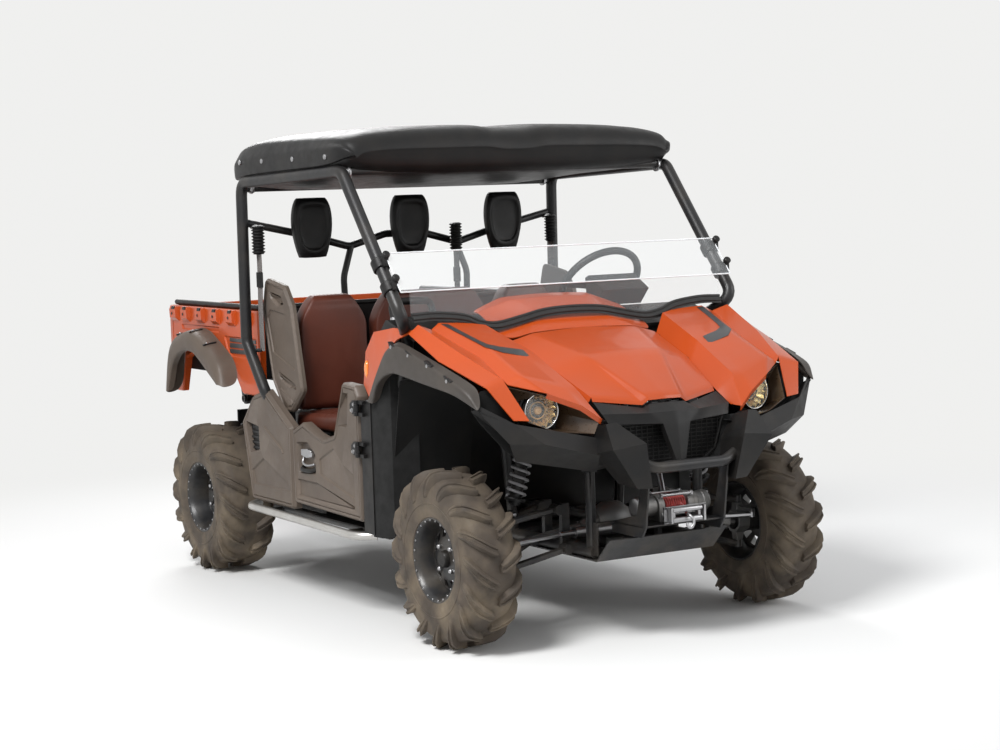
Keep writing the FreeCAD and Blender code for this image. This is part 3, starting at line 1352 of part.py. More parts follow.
def door():
    """Left half door: hollow moulding with a low waist, a raised front, a slot and a latch pocket."""
    outer = prism_x(DOOR_LINE, DOOR_X - DOOR_DEPTH, DOOR_X)
    slot = prism_x([(-262, 745), (-330, 890), (-372, 890), (-350, 745)], DOOR_X - 12, DOOR_X + 5)
    pocket = prism_x([(118, 660), (10, 668), (-60, 620), (-60, 540), (90, 530)], DOOR_X - 18, DOOR_X + 5)
    handle = prism_x([(80, 622), (-20, 626), (-20, 598), (80, 594)], DOOR_X - 20, DOOR_X - 6)
    barrels = []
    for z in HINGE_HEIGHTS:
        barrels.append(pole(HINGE_PIN_R + 5, 30, V(HINGE_X, HINGE_Y, z - 15)))
        barrels.append(box(DOOR_X - 6, HINGE_X + 3, HINGE_Y + 2, DOOR_FRONT_Y + 50, z - 15, z + 15))
    bores = [bore(HINGE_PIN_R, 60, V(HINGE_X, HINGE_Y, z - 30), V(0, 0, 1)) for z in HINGE_HEIGHTS]
    return cut(fuse(cut(outer, slot, pocket), handle, *barrels), *bores)


HINGE_HEIGHTS = (676, 836)


def door_posts():
    """Hinge posts ahead of the doors, tied to the hoops, with the brackets and pins."""
    made = [box(700 + SEAT_GAP, 742, -560, DOOR_FRONT_Y - 12, FLOOR_Z, 866)]
    for z0, y0, y1 in ((440, -518, -486), (605, -570, -538)):
        made.append(box(651, 705, y0, y1, z0, z0 + 24))
    for z in HINGE_HEIGHTS:
        made.append(pole(HINGE_PIN_R, 60, V(HINGE_X, HINGE_Y, z - 30)))
        for z0 in (z - 30, z + 16):
            made.append(pole(HINGE_PIN_R + 5, 14, V(HINGE_X, HINGE_Y, z0)))
            made.append(box(736, HINGE_X, -520, HINGE_Y, z0, z0 + 14))
    return pair(largest(cut(fuse(*made), cage_space())))


# Cargo bed

def bed_tub():
    """Steel tub: ribbed floor, front wall, side walls, pivot lugs and the tailgate's hinge pins."""
    t = BED_WALL
    beam_z = BED_FLOOR_Z - t - BED_BEAM
    floor = box(-BED_X, BED_X, BED_FRONT_Y, BED_REAR_Y, BED_FLOOR_Z - t, BED_FLOOR_Z)
    front = box(-BED_X, BED_X, BED_FRONT_Y, BED_FRONT_Y + t, BED_FLOOR_Z, BED_TOP_Z)
    sides = [box(x, x + t, BED_FRONT_Y, BED_REAR_Y, BED_FLOOR_Z, BED_TOP_Z) for x in (-BED_X, BED_X - t)]
    x, y0, y1, z = BED_X + 8, BED_FRONT_Y + 8, BED_REAR_Y - 5, BED_TOP_Z + 2
    rail = bent_tube([(x, y1, z), (x, y0, z), (-x, y0, z), (-x, y1, z)], 12, 30)
    ribs = [box(rib_x - 20, rib_x + 20, BED_FRONT_Y + 20, BED_REAR_Y - 20, BED_FLOOR_Z, BED_FLOOR_Z + 8)
            for rib_x in range(-500, 501, 125)]
    made, bores = [], []
    for s in (-1, 1):
        at = s * BED_PIVOT_X
        made.append(box(at - 20, at + 20, BED_FRONT_Y + 40, BED_REAR_Y - 20, beam_z, BED_FLOOR_Z - t))
        made.append(prism_x([(BED_PIVOT_Y - 28, BED_PIVOT_Z), (BED_PIVOT_Y - 60, beam_z),
                             (BED_PIVOT_Y + 60, beam_z), (BED_PIVOT_Y + 28, BED_PIVOT_Z)],
                            at - BED_LUG_HALF, at + BED_LUG_HALF))
        base = V(at - BED_LUG_HALF, BED_PIVOT_Y, BED_PIVOT_Z)
        made.append(pole(28, 2 * BED_LUG_HALF, base, V(1, 0, 0)))
        bores.append(bore(BED_PIN_R, 60, base - V(20, 0, 0), V(1, 0, 0)))
        for ear in (-40, 22):
            ear_x = s * TAILGATE_HINGE_X + ear
            made.append(box(ear_x, ear_x + 18, BED_REAR_Y - 12, TAILGATE_AXIS_Y, TAILGATE_AXIS_Z - 9,
                            BED_FLOOR_Z))
            made.append(pole(TAILGATE_PIN_R + 3, 18, V(ear_x, TAILGATE_AXIS_Y, TAILGATE_AXIS_Z), V(1, 0, 0),
                             TUBE_SIDES))
        pin_x = s * TAILGATE_HINGE_X - 40
        made.append(pole(TAILGATE_PIN_R, 80, V(pin_x, TAILGATE_AXIS_Y, TAILGATE_AXIS_Z), V(1, 0, 0)))
    return cut(fuse(floor, front, *sides, rail, *ribs, *made), *bores)


TAILGATE_HINGE_X = 450.0
TAILGATE_AXIS_Y = BED_REAR_Y + 30
TAILGATE_AXIS_Z = BED_FLOOR_Z - 6


def bed_sides():
    """Painted side panels of the bed with stake pockets along the top."""
    x0 = BED_X + 0.3
    low = 1168
    arch = [(y, z) for y, z in ((330, 930), (110, 1000), (-170, 930), (-290, 800))]
    outline = [(BED_FRONT_Y, low), (BED_REAR_Y, low), (BED_REAR_Y, 770), (BED_REAR_Y - 85, 770)]
    outline += [(REAR_AXLE_Y + y, z) for y, z in arch] + [(BED_FRONT_Y, 800)]
    slab = prism_x(outline, x0, x0 + 32)
    pockets = []
    for y in (700, 860, 1120, 1370, 1500):
        pockets.append(prism_y([(x0 + 32, 1158), (x0 + 50, 1150), (x0 + 50, 1118), (x0 + 32, 1100)],
                               y - 42, y + 42))
    return pair(fuse(slab, *pockets))


def bed_flares():
    """Rear arch extensions on the bed's sides."""
    x0 = BED_X + 32.6
    outer = [(1440, 781), (1400, 1000), (1336, 1048), (1196, 1083), (1100, 1070), (855, 954), (800, 844),
             (845, 846), (918, 880), (1130, 985), (1287, 960), (1350, 900), (1400, 781)]
    return pair(prism_x(outer, x0, x0 + 100))


def tailgate():
    """Painted tailgate with a pressed centre, hinged at its lower edge."""
    y0 = BED_REAR_Y + 5
    z0, z1 = TAILGATE_AXIS_Z + 16, BED_TOP_Z - 12
    slab = box(-BED_X - 30, BED_X + 30, y0, y0 + TAILGATE_DEPTH, z0, z1)
    press = box(-BED_X + 60, BED_X - 60, y0 + TAILGATE_DEPTH - 8, y0 + 60, z0 + 50, z1 - 60)
    knuckles, bores = [], []
    for x in (-TAILGATE_HINGE_X, TAILGATE_HINGE_X):
        at = V(x - 20, TAILGATE_AXIS_Y, TAILGATE_AXIS_Z)
        knuckles.append(pole(TAILGATE_PIN_R + 5, 40, at, V(1, 0, 0)))
        knuckles.append(box(x - 20, x + 20, TAILGATE_AXIS_Y - 8, TAILGATE_AXIS_Y + 8, TAILGATE_AXIS_Z, z0 + 4))
        bores.append(bore(TAILGATE_PIN_R, 60, at - V(10, 0, 0), V(1, 0, 0)))
    return cut(fuse(cut(slab, press), *knuckles), *bores)


def rear_bumper():
    """Tail guard with light plates and the receiver for a tow bar, bolted to the rails' ends."""
    bar = rod((-420, BUMPER_Y, 560), (420, BUMPER_Y, 560), BUMPER_R)
    y0 = RAIL_REAR_Y + SEAT_GAP
    made = [bar]
    for s in (-1, 1):
        x0, x1 = s * RAIL_X - 20, s * RAIL_X + 20
        made.append(box(x0, x1, y0, BUMPER_Y, 540, 580))
        made.append(box(x0, x1, y0, PLATE_Y, 300, 720))
        light_x = sorted((s * (RAIL_X - 10), s * 400))
        made.append(box(*light_x, PLATE_Y - 8, PLATE_Y, 596, 664))
    inside = box(-RECEIVER / 2, RECEIVER / 2, RAIL_REAR_Y - 30, BUMPER_Y + 60, RECEIVER_Z - RECEIVER / 2,
                 RECEIVER_Z + RECEIVER / 2)
    half = RECEIVER / 2 + 6.4
    made += [box(*span, y0, PLATE_Y - 2, 320, 404) for span in ((half, 260), (-260, -half))]
    tube = box(-half, half, RAIL_REAR_Y - 35, BUMPER_Y - 8, RECEIVER_Z - half, RECEIVER_Z + half)
    bridge = box(-20, 20, BUMPER_Y - 60, BUMPER_Y, RECEIVER_Z + half - 2, 560)
    pin_hole = Part.makeCylinder(RECEIVER_PIN_R, 4 * half, V(-2 * half, BUMPER_Y - 60, RECEIVER_Z), V(1, 0, 0))
    tube = cut(tube, inside, pin_hole)
    carried = [cut(member, inside, tube) for member in made + [bridge]]
    return Part.makeCompound(solids_of(end_on_end(carried)) + [tube])


BUMPER_R = 22.0
PLATE_Y = RAIL_REAR_Y + 30
BUMPER_Y = BED_REAR_Y + 85 - BUMPER_R * FLAT
RECEIVER = 50.8
RECEIVER_PIN_R = 8.2
RECEIVER_Z = 362.0


def taillights():
    return pair(box(300, 390, PLATE_Y + SEAT_GAP, PLATE_Y + 18, 600, 660))


def build():
    wheels()
    left = knuckle()
    save("knuckle_left", left)
    save("knuckle_right", mirrored(left))
    save("suspension_arms", pair(Part.makeCompound([suspension_arms(), rear_carriers()])))
    save("drivetrain", Part.makeCompound(drivetrain()))
    left_door = door()
    save("door_left", left_door)
    save("door_right", mirrored(left_door))
    save("bumper_cover", pair(bumper_cover()))
    save("cage_sides", pair(cage_side()))
    for name, made in (("seat_cushions", seat_cushions()), ("seat_backs", seat_backs()),
                       ("seat_belts", seat_belts())):
        save(name, Part.makeCompound(made))
    save("headlights", pair(headlights()))
    save("headlight_lenses", pair(headlight_lenses()))
    save("lamp_buckets", pair(lamp_buckets()))
    for name, make in PLAIN_PIECES.items():
        save(name, make())


PLAIN_PIECES = {
    "shock_absorbers": shock_absorbers, "engine_block": engine_block, "muffler": muffler,
    "frame": frame, "skid_plate": skid_plate, "floor_pan": floor_pan, "seat_base": seat_base,
    "front_fenders": front_fenders, "hood": hood, "dash_cowl": dash_cowl,
    "front_fascia": front_fascia, "grille": grille, "bumper_bar": bumper_bar, "winch": winch,
    "front_flares": front_flares, "wheel_liners": wheel_liners, "roof": roof,
    "cage_cross": cage_cross, "headrests": headrests, "windshield": windshield,
    "windshield_clamps": windshield_clamps, "cowl_seal": cowl_seal, "dashboard": dashboard,
    "instrument_pod": instrument_pod, "steering_wheel": steering_wheel,
    "steering_shaft": steering_shaft, "rack_bar": rack_bar, "grab_bar": grab_bar,
    "shoulder_guards": shoulder_guards, "side_panels": side_panels, "step_bars": step_bars,
    "door_posts": door_posts, "bed_tub": bed_tub, "bed_sides": bed_sides,
    "bed_flares": bed_flares, "tailgate": tailgate, "rear_bumper": rear_bumper,
    "taillights": taillights,
}

build()
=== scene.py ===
"""Looks of the side by side utility vehicle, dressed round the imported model.

Metres, +X to the vehicle's left, -Y to its front, +Z up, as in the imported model.
"""
import math

import bmesh
import bpy
from mathutils import Matrix, Vector
from mathutils.geometry import delaunay_2d_cdt


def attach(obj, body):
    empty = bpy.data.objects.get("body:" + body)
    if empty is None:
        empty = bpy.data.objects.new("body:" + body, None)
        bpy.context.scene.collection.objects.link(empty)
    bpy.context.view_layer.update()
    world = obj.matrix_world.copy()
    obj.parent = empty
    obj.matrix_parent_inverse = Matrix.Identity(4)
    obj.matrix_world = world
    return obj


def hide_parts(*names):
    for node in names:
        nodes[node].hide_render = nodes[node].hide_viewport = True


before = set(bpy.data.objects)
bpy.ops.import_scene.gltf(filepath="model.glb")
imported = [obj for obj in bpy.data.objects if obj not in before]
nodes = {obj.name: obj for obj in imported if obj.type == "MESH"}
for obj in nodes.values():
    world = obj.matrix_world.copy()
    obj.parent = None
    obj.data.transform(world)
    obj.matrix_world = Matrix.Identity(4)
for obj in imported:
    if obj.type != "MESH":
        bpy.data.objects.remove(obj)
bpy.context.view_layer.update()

scene = bpy.context.scene


def placed(name, data):
    """Object of the scene from its data."""
    made = bpy.data.objects.new(name, data)
    scene.collection.objects.link(made)
    return made


def add_node(tree, kind, values=(), **settings):
    """Node of a tree with its settings and the values of its sockets."""
    made = tree.nodes.new(kind)
    for key, value in settings.items():
        setattr(made, key, value)
    for key, value in dict(values).items():
        made.inputs[key].default_value = value
    return made


# Camera, light and floor

CAMERA_AT = (-4.4152, -7.7024, 1.6410)
CAMERA_YAW, CAMERA_PITCH, CAMERA_ROLL = 0.536843, 0.0857402, -0.0313546
FOCAL_PIXELS, PICTURE_WIDTH, SENSOR = 2123.1, 1000, 36.0
FAR_CLIP = 200
BACKGROUND = (0.87, 0.87, 0.86, 1)
SKY_LOW, SKY_MIDDLE, SKY_HIGH = (0.36, 0.33, 0.28, 1), (0.92, 0.89, 0.85, 1), (0.80, 0.82, 0.86, 1)
SKY_MIDDLE_AT, SKY_HIGH_AT = 0.08, 0.55
SKY_STRENGTH = 0.62
FLOOR_REACH = 40.0
FLOOR_COLOUR = (0.80, 0.80, 0.79, 1)
FADE_FROM, FADE_TO = 1.8, 4.8
LAMPS = {
    # name: place, target, diameter, power
    "key": ((-4.5, -3.0, 6.0), (0, 0, 0.9), 2.4, 560),
    "fill": ((5.0, -5.0, 3.5), (0, 0, 0.8), 4.0, 130),
    "back": ((1.5, 6.0, 5.0), (0, 0, 1.0), 3.0, 220),
}


def camera():
    """The photograph's viewpoint."""
    ahead = Vector((math.sin(CAMERA_YAW) * math.cos(CAMERA_PITCH),
                    math.cos(CAMERA_YAW) * math.cos(CAMERA_PITCH), -math.sin(CAMERA_PITCH)))
    right = ahead.cross(Vector((0, 0, 1))).normalized()
    up = right.cross(ahead)
    c, s = math.cos(CAMERA_ROLL), math.sin(CAMERA_ROLL)
    right, up = right * c + up * s, up * c - right * s
    data = bpy.data.cameras.new("view")
    data.sensor_width = SENSOR
    data.lens = FOCAL_PIXELS * SENSOR / PICTURE_WIDTH
    data.clip_end = FAR_CLIP
    made = placed("view", data)
    rows = [(right[i], up[i], -ahead[i], CAMERA_AT[i]) for i in range(3)]
    made.matrix_world = Matrix(rows + [(0, 0, 0, 1)])
    scene.camera = made


def lamp(name, at, target, size, power):
    """Round area light that looks at its target."""
    data = bpy.data.lights.new(name, "AREA")
    data.shape = "DISK"
    data.size = size
    data.energy = power
    made = placed(name, data)
    made.location = at
    made.rotation_mode = "QUATERNION"
    made.rotation_quaternion = (Vector(target) - Vector(at)).to_track_quat("-Z", "Y")


def backdrop_nodes(tree, shader, pale):
    """A pale surround for the camera, for mirrors and for glass; plain light for the rest."""
    path = add_node(tree, "ShaderNodeLightPath")
    seen = path.outputs["Is Camera Ray"]
    for kind in ("Is Transmission Ray", "Is Glossy Ray"):
        either = add_node(tree, "ShaderNodeMath", operation="MAXIMUM")
        tree.links.new(seen, either.inputs[0])
        tree.links.new(path.outputs[kind], either.inputs[1])
        seen = either.outputs[0]
    mix = add_node(tree, "ShaderNodeMixShader")
    for source, socket in zip((seen, shader.outputs[0], pale.outputs[0]), mix.inputs):
        tree.links.new(source, socket)
    return mix


def sky():
    """World light that pales towards the horizon."""
    world = bpy.data.worlds.new("surround")
    scene.world = world
    world.use_nodes = True
    tree = world.node_tree
    tree.nodes.clear()
    light = add_node(tree, "ShaderNodeBackground", {"Strength": SKY_STRENGTH})
    where = add_node(tree, "ShaderNodeTexCoord")
    split = add_node(tree, "ShaderNodeSeparateXYZ")
    ramp = add_node(tree, "ShaderNodeValToRGB")
    stops = ramp.color_ramp.elements
    stops[0].color = SKY_LOW
    stops[1].position = SKY_HIGH_AT
    stops[1].color = SKY_HIGH
    stops.new(SKY_MIDDLE_AT).color = SKY_MIDDLE
    tree.links.new(where.outputs["Generated"], split.inputs[0])
    tree.links.new(split.outputs["Z"], ramp.inputs[0])
    tree.links.new(ramp.outputs[0], light.inputs["Color"])
    mix = backdrop_nodes(tree, light, add_node(tree, "ShaderNodeBackground", {"Color": BACKGROUND}))
    tree.links.new(mix.outputs[0], add_node(tree, "ShaderNodeOutputWorld").inputs["Surface"])


def ground():
    """Floor that fades into the pale background."""
    mesh = bpy.data.meshes.new("floor")
    corners = ((-1, -1), (1, -1), (1, 1), (-1, 1))
    mesh.from_pydata([(x * FLOOR_REACH, y * FLOOR_REACH, 0) for x, y in corners], [], [(0, 1, 2, 3)])
    paint = bpy.data.materials.new("floor")
    paint.use_nodes = True
    tree = paint.node_tree
    shader = tree.nodes["Principled BSDF"]
    shader.inputs["Base Color"].default_value = FLOOR_COLOUR
    shader.inputs["Roughness"].default_value = 0.9
    shader.inputs["Specular IOR Level"].default_value = 0.1
    far = add_node(tree, "ShaderNodeEmission", {"Color": BACKGROUND})
    away = add_node(tree, "ShaderNodeVectorMath", operation="LENGTH")
    share = add_node(tree, "ShaderNodeMapRange", {"From Min": FADE_FROM, "From Max": FADE_TO},
                     interpolation_type="SMOOTHSTEP")
    fade = add_node(tree, "ShaderNodeMixShader")
    both = backdrop_nodes(tree, shader, fade)
    tree.links.new(add_node(tree, "ShaderNodeTexCoord").outputs["Object"], away.inputs[0])
    tree.links.new(away.outputs["Value"], share.inputs["Value"])
    for source, socket in zip((share, shader, far), fade.inputs):
        tree.links.new(source.outputs[0], socket)
    tree.links.new(both.outputs[0], tree.nodes["Material Output"].inputs["Surface"])
    mesh.materials.append(paint)
    floor = placed("floor", mesh)


# Materials

DUST = (0.23, 0.18, 0.12, 1)


def shade(colour, factor):
    """Colour made lighter or darker, with its alpha."""
    return tuple(min(1.0, c * factor) for c in colour[:3]) + (1,)


def material(name, colour, rough, metal=0.0, coat=0.0, mottle=(6.0, 0.12), grain=(900.0, 0.0002),
             wear=0.0, dust=0.0, sheen=0.0, weave=0.0, specular=0.5):
    """A finish with slow colour variation, fine surface grain, worn edges and settled dust.

    Mottle is (scale, strength); grain is (scale, depth in metres).
    """
    made = bpy.data.materials.new(name)
    made.use_nodes = True
    tree = made.node_tree
    link = tree.links.new
    shader = tree.nodes["Principled BSDF"]
    where = add_node(tree, "ShaderNodeTexCoord").outputs["Object"]

    def noise(scale, detail=4.0):
        node = add_node(tree, "ShaderNodeTexNoise", {"Scale": scale, "Detail": detail})
        link(where, node.inputs["Vector"])
        return node.outputs["Fac"]

    def stretch(value, low, high, to_low=0.0, to_high=1.0):
        node = add_node(tree, "ShaderNodeMapRange", {1: low, 2: high, 3: to_low, 4: to_high})
        link(value, node.inputs[0])
        return node.outputs[0]

    def feed(socket, value):
        if isinstance(value, (float, tuple)):
            socket.default_value = value
        else:
            link(value, socket)

    def mixed(factor, a, b):
        node = add_node(tree, "ShaderNodeMix", data_type="RGBA")
        link(factor, node.inputs[0])
        feed(node.inputs[6], a)
        feed(node.inputs[7], b)
        return node.outputs[2]

    def times(a, b):
        node = add_node(tree, "ShaderNodeMath", operation="MULTIPLY")
        feed(node.inputs[0], a)
        feed(node.inputs[1], b)
        return node.outputs[0]

    scale, strength = mottle
    tone = mixed(stretch(noise(scale), 0.3, 0.7), shade(colour, 1 - strength), shade(colour, 1 + strength))
    if wear:
        edge = add_node(tree, "ShaderNodeNewGeometry").outputs["Pointiness"]
        tone = mixed(times(stretch(edge, 0.52, 0.62), times(noise(60.0), wear)), tone,
                     shade(tuple(c * 1.6 + 0.06 for c in colour), 1.0))
    roughness = stretch(noise(scale * 4), 0.25, 0.75, rough * 0.85, min(1.0, rough * 1.15))
    if dust:
        height = add_node(tree, "ShaderNodeSeparateXYZ")
        link(where, height.inputs[0])
        low = stretch(height.outputs["Z"], 0.1, 0.75, 1.0, 0.25)
        patches = stretch(noise(9.0, 8.0), 0.42, 0.75)
        tone = mixed(times(times(low, patches), dust), tone, DUST)
    link(tone, shader.inputs["Base Color"])
    link(roughness, shader.inputs["Roughness"])
    for key, value in (("Metallic", metal), ("Coat Weight", coat), ("Coat Roughness", 0.08),
                       ("Sheen Weight", sheen), ("Specular IOR Level", specular)):
        shader.inputs[key].default_value = value
    if weave:
        wave = add_node(tree, "ShaderNodeTexWave", {"Scale": weave}, bands_direction="DIAGONAL")
        link(where, wave.inputs["Vector"])
        height = wave.outputs["Fac"]
    else:
        height = noise(grain[0], 2.0)
    bump = add_node(tree, "ShaderNodeBump", {"Strength": 0.6, "Distance": grain[1]})
    link(height, bump.inputs["Height"])
    link(bump.outputs[0], shader.inputs["Normal"])
    return made


def clear(name, colour, rough, alpha):
    """Thin see-through plastic: mostly open, with a faint tint and a gloss."""
    made = bpy.data.materials.new(name)
    made.use_nodes = True
    shader = made.node_tree.nodes["Principled BSDF"]
    for key, value in (("Base Color", colour + (1,)), ("Roughness", rough), ("Alpha", alpha),
                       ("Specular IOR Level", 0.6)):
        shader.inputs[key].default_value = value
    return made


SOLID_LOOKS = {
    # name: colour, roughness, options
    "tyre_rubber": ((0.060, 0.046, 0.034), 0.76, dict(mottle=(14, 0.3), grain=(500, 0.0006), dust=0.75)),
    "rim_paint": ((0.016, 0.016, 0.017), 0.35, dict(wear=0.5, dust=0.25)),
    "frame_paint": ((0.010, 0.010, 0.011), 0.40, dict(wear=0.4, dust=0.25, specular=0.4)),
    "steel": ((0.40, 0.40, 0.41), 0.38, dict(metal=1.0, grain=(700, 0.0001), dust=0.2)),
    "cast_metal": ((0.22, 0.22, 0.22), 0.55, dict(metal=0.9, grain=(450, 0.0005), dust=0.45)),
    "orange_plastic": ((0.43, 0.058, 0.006), 0.36, dict(
        coat=0.22, mottle=(3, 0.06), grain=(1400, 0.00004), specular=0.35)),
    "grey_plastic": ((0.0075, 0.0070, 0.0070), 0.50, dict(
        grain=(1300, 0.00025), wear=0.4, dust=0.12, specular=0.3)),
    "slate_plastic": ((0.088, 0.067, 0.052), 0.50, dict(
        grain=(1300, 0.00022), wear=0.5, dust=0.2, specular=0.4)),
    "black_plastic": ((0.0052, 0.0050, 0.0052), 0.46, dict(
        grain=(1300, 0.00025), wear=0.3, dust=0.08, specular=0.3)),
    "seal_rubber": ((0.012, 0.012, 0.012), 0.65, dict(grain=(800, 0.0002))),
    "vinyl": ((0.088, 0.022, 0.012), 0.44, dict(mottle=(7, 0.16), grain=(700, 0.0004), wear=0.3,
                                                specular=0.4)),
    "webbing": ((0.045, 0.030, 0.024), 0.8, dict(sheen=0.4, weave=260.0, grain=(900, 0.0006))),
    "chrome": ((0.82, 0.82, 0.82), 0.09, dict(metal=1.0, mottle=(20, 0.03), grain=(60, 0.00002))),
    "tail_red": ((0.42, 0.012, 0.012), 0.18, dict(coat=0.8, mottle=(40, 0.1), grain=(200, 0.0003))),
    "coil_grey": ((0.20, 0.20, 0.21), 0.38, dict(grain=(400, 0.0002), wear=0.4, dust=0.3)),
    "arch_grey": ((0.042, 0.035, 0.030), 0.48, dict(grain=(1300, 0.00025), wear=0.5, dust=0.2, specular=0.4)),
    "graphite": ((0.030, 0.031, 0.033), 0.35, dict(coat=0.2, grain=(900, 0.00005))),
    "bucket_brown": ((0.060, 0.036, 0.020), 0.30, dict(coat=0.4, mottle=(20, 0.2))),
    # painted glow: the reflector's warm tint stands in for the lit lamp's warm light
    "reflector": ((1.0, 0.82, 0.55), 0.20, dict(metal=0.95, mottle=(26, 0.12), grain=(45, 0.003))),
    # painted shade: flat black for sheets that stand in for the shade in open hollows
    "painted_shade_black": ((0.004, 0.004, 0.004), 0.9, {}),
    # painted glow: the bulbs are coloured as if lit, though no light comes from them
    "warm_glow": ((0.80, 0.45, 0.16), 0.35, dict(mottle=(30, 0.15), grain=(200, 0.0002))),
    "rope_red": ((0.30, 0.02, 0.015), 0.7, dict(sheen=0.3, weave=400.0, mottle=(60, 0.3),
                                                grain=(900, 0.0006))),
    "amber": ((0.75, 0.20, 0.015), 0.18, dict(coat=0.8, mottle=(50, 0.1), grain=(260, 0.0004))),
    "step_silver": ((0.52, 0.51, 0.49), 0.34, dict(metal=0.85, mottle=(10, 0.1), wear=0.3, dust=0.35)),
}
CLEAR_LOOKS = {
    # name: colour, roughness, opacity
    "clear_screen": ((0.86, 0.90, 0.92), 0.04, 0.07),
    "lens": ((0.95, 0.93, 0.88), 0.03, 0.10),
    # pale edges of the sheet: its frosted sawn edge, with a painted highlight along it
    "screen_edge": ((0.95, 0.98, 1.0), 0.15, 0.75),
}
FINISH = {name: material(name, colour, rough, **options)
          for name, (colour, rough, options) in SOLID_LOOKS.items()}
FINISH.update({name: clear(name, *look) for name, look in CLEAR_LOOKS.items()})
CLEAN_ANGLE = math.radians(38)
ROUND_ANGLE = math.radians(50)
SAME_POINT = 0.00002


def smooth_group(limit):
    """Modifier tree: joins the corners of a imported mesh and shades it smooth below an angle."""
    tree = bpy.data.node_groups.new("soften_%d" % round(math.degrees(limit)), "GeometryNodeTree")
    for way in ("INPUT", "OUTPUT"):
        tree.interface.new_socket("Geometry", in_out=way, socket_type="NodeSocketGeometry")
    angle = add_node(tree, "GeometryNodeInputMeshEdgeAngle")
    compare = add_node(tree, "FunctionNodeCompare", {1: limit}, data_type="FLOAT", operation="GREATER_THAN")
    edges = add_node(tree, "GeometryNodeSetShadeSmooth", {"Shade Smooth": False}, domain="EDGE")
    tree.links.new(angle.outputs["Unsigned Angle"], compare.inputs[0])
    tree.links.new(compare.outputs[0], edges.inputs["Selection"])
    last = add_node(tree, "NodeGroupInput").outputs[0]
    for node in (add_node(tree, "GeometryNodeRemoveAttribute", {"Name": "custom_normal"}),
                 add_node(tree, "GeometryNodeMergeByDistance", {"Distance": SAME_POINT}),
                 add_node(tree, "GeometryNodeSetShadeSmooth", domain="FACE"), edges):
        tree.links.new(last, node.inputs["Geometry"])
        last = node.outputs[0]
    tree.links.new(last, add_node(tree, "NodeGroupOutput").inputs[0])
    return tree


SOFTEN = smooth_group(CLEAN_ANGLE)
ROUND = smooth_group(ROUND_ANGLE)


def soften(thing, bevel=0.0, group=SOFTEN):
    """Smooth shading by angle, and rounded edges if a bevel width is given."""
    thing.modifiers.new("soften", "NODES").node_group = group
    if bevel:
        edge = thing.modifiers.new("edges", "BEVEL")
        edge.width = bevel
        edge.segments = 2
        edge.limit_method = "ANGLE"
        edge.angle_limit = CLEAN_ANGLE
        edge.harden_normals = True
        edge.use_clamp_overlap = True
    return thing


NODE_LOOKS = {
    # finish and bevel width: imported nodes
    ("slate_plastic", 0.004): "bed_flares door_left door_right shoulder_guards side_panels",
    ("orange_plastic", 0.004): "bed_sides tailgate",
    ("orange_plastic", 0.0015): "dash_cowl front_fenders hood",
    ("black_plastic", 0): "grab_bar steering_wheel",
    ("black_plastic", 0.0008): "grille",
    ("black_plastic", 0.001): "lamp_buckets wheel_liners windshield_clamps",
    ("black_plastic", 0.0015): "bed_tub",
    ("black_plastic", 0.002): "door_posts floor_pan",
    ("black_plastic", 0.003): "dashboard",
    ("black_plastic", 0.004): "roof seat_base",
    ("black_plastic", 0.008): "instrument_pod",
    ("black_plastic", 0.01): "headrests",
    ("frame_paint", 0): "cage_cross cage_sides frame skid_plate suspension_arms",
    ("frame_paint", 0.0015): "bumper_bar",
    ("frame_paint", 0.002): "rear_bumper",
    ("grey_plastic", 0.0015): "bumper_cover front_fascia front_flares",
    ("seal_rubber", 0.003): "cowl_seal",
    ("cast_metal", 0.001): "winch",
    ("cast_metal", 0.002): "drivetrain knuckle_left knuckle_right",
    ("cast_metal", 0.003): "muffler",
    ("cast_metal", 0.006): "engine_block",
    ("steel", 0): "rack_bar shock_absorbers steering_shaft",
    ("step_silver", 0): "step_bars",
    ("chrome", 0): "headlights",
    ("lens", 0): "headlight_lenses",
    ("clear_screen", 0): "windshield",
    ("tail_red", 0.004): "taillights",
    ("rim_paint", 0.0015): "rim_fl rim_fr rim_rl rim_rr",
    ("tyre_rubber", 0.004): "tyre_fl tyre_fr tyre_rl tyre_rr",
    ("vinyl", 0.02): "seat_backs seat_cushions",
    ("webbing", 0): "seat_belts",
}
# Nodes of 8-sided bars, drawn round
TUBED = ("frame", "suspension_arms", "rear_bumper", "muffler", "rack_bar", "steering_shaft", "bumper_bar")


def dress_nodes():
    """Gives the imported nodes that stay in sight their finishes."""
    for (finish, bevel), names in NODE_LOOKS.items():
        for name in names.split():
            slots = nodes[name].data.materials
            for i in range(len(slots)):
                slots[i] = FINISH[finish]
            if not len(slots):
                slots.append(FINISH[finish])
            soften(nodes[name], bevel, ROUND if name in TUBED else SOFTEN)


camera()
sky()
for name, values in LAMPS.items():
    lamp(name, *values)
ground()
scene.view_settings.view_transform = "Standard"
dress_nodes()

# Mesh helpers: shapes are gathered in millimetres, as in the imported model, and scaled once

MM = 0.001
FINE = 28
TINY = 0.01


def angles(count, shift=0.0):
    """Even turns round a circle, in radians."""
    return [2 * math.pi * (k + shift) / count for k in range(count)]


def circle(centre, across, other, radius, sides):
    """Ring of points round a centre."""
    return [centre + (across * math.cos(t) + other * math.sin(t)) * radius for t in angles(sides)]


def with_mirror(path):
    """Path joined to its mirror image across the centre plane."""
    return path + [(-x, y, z) for x, y, z in reversed(path)]


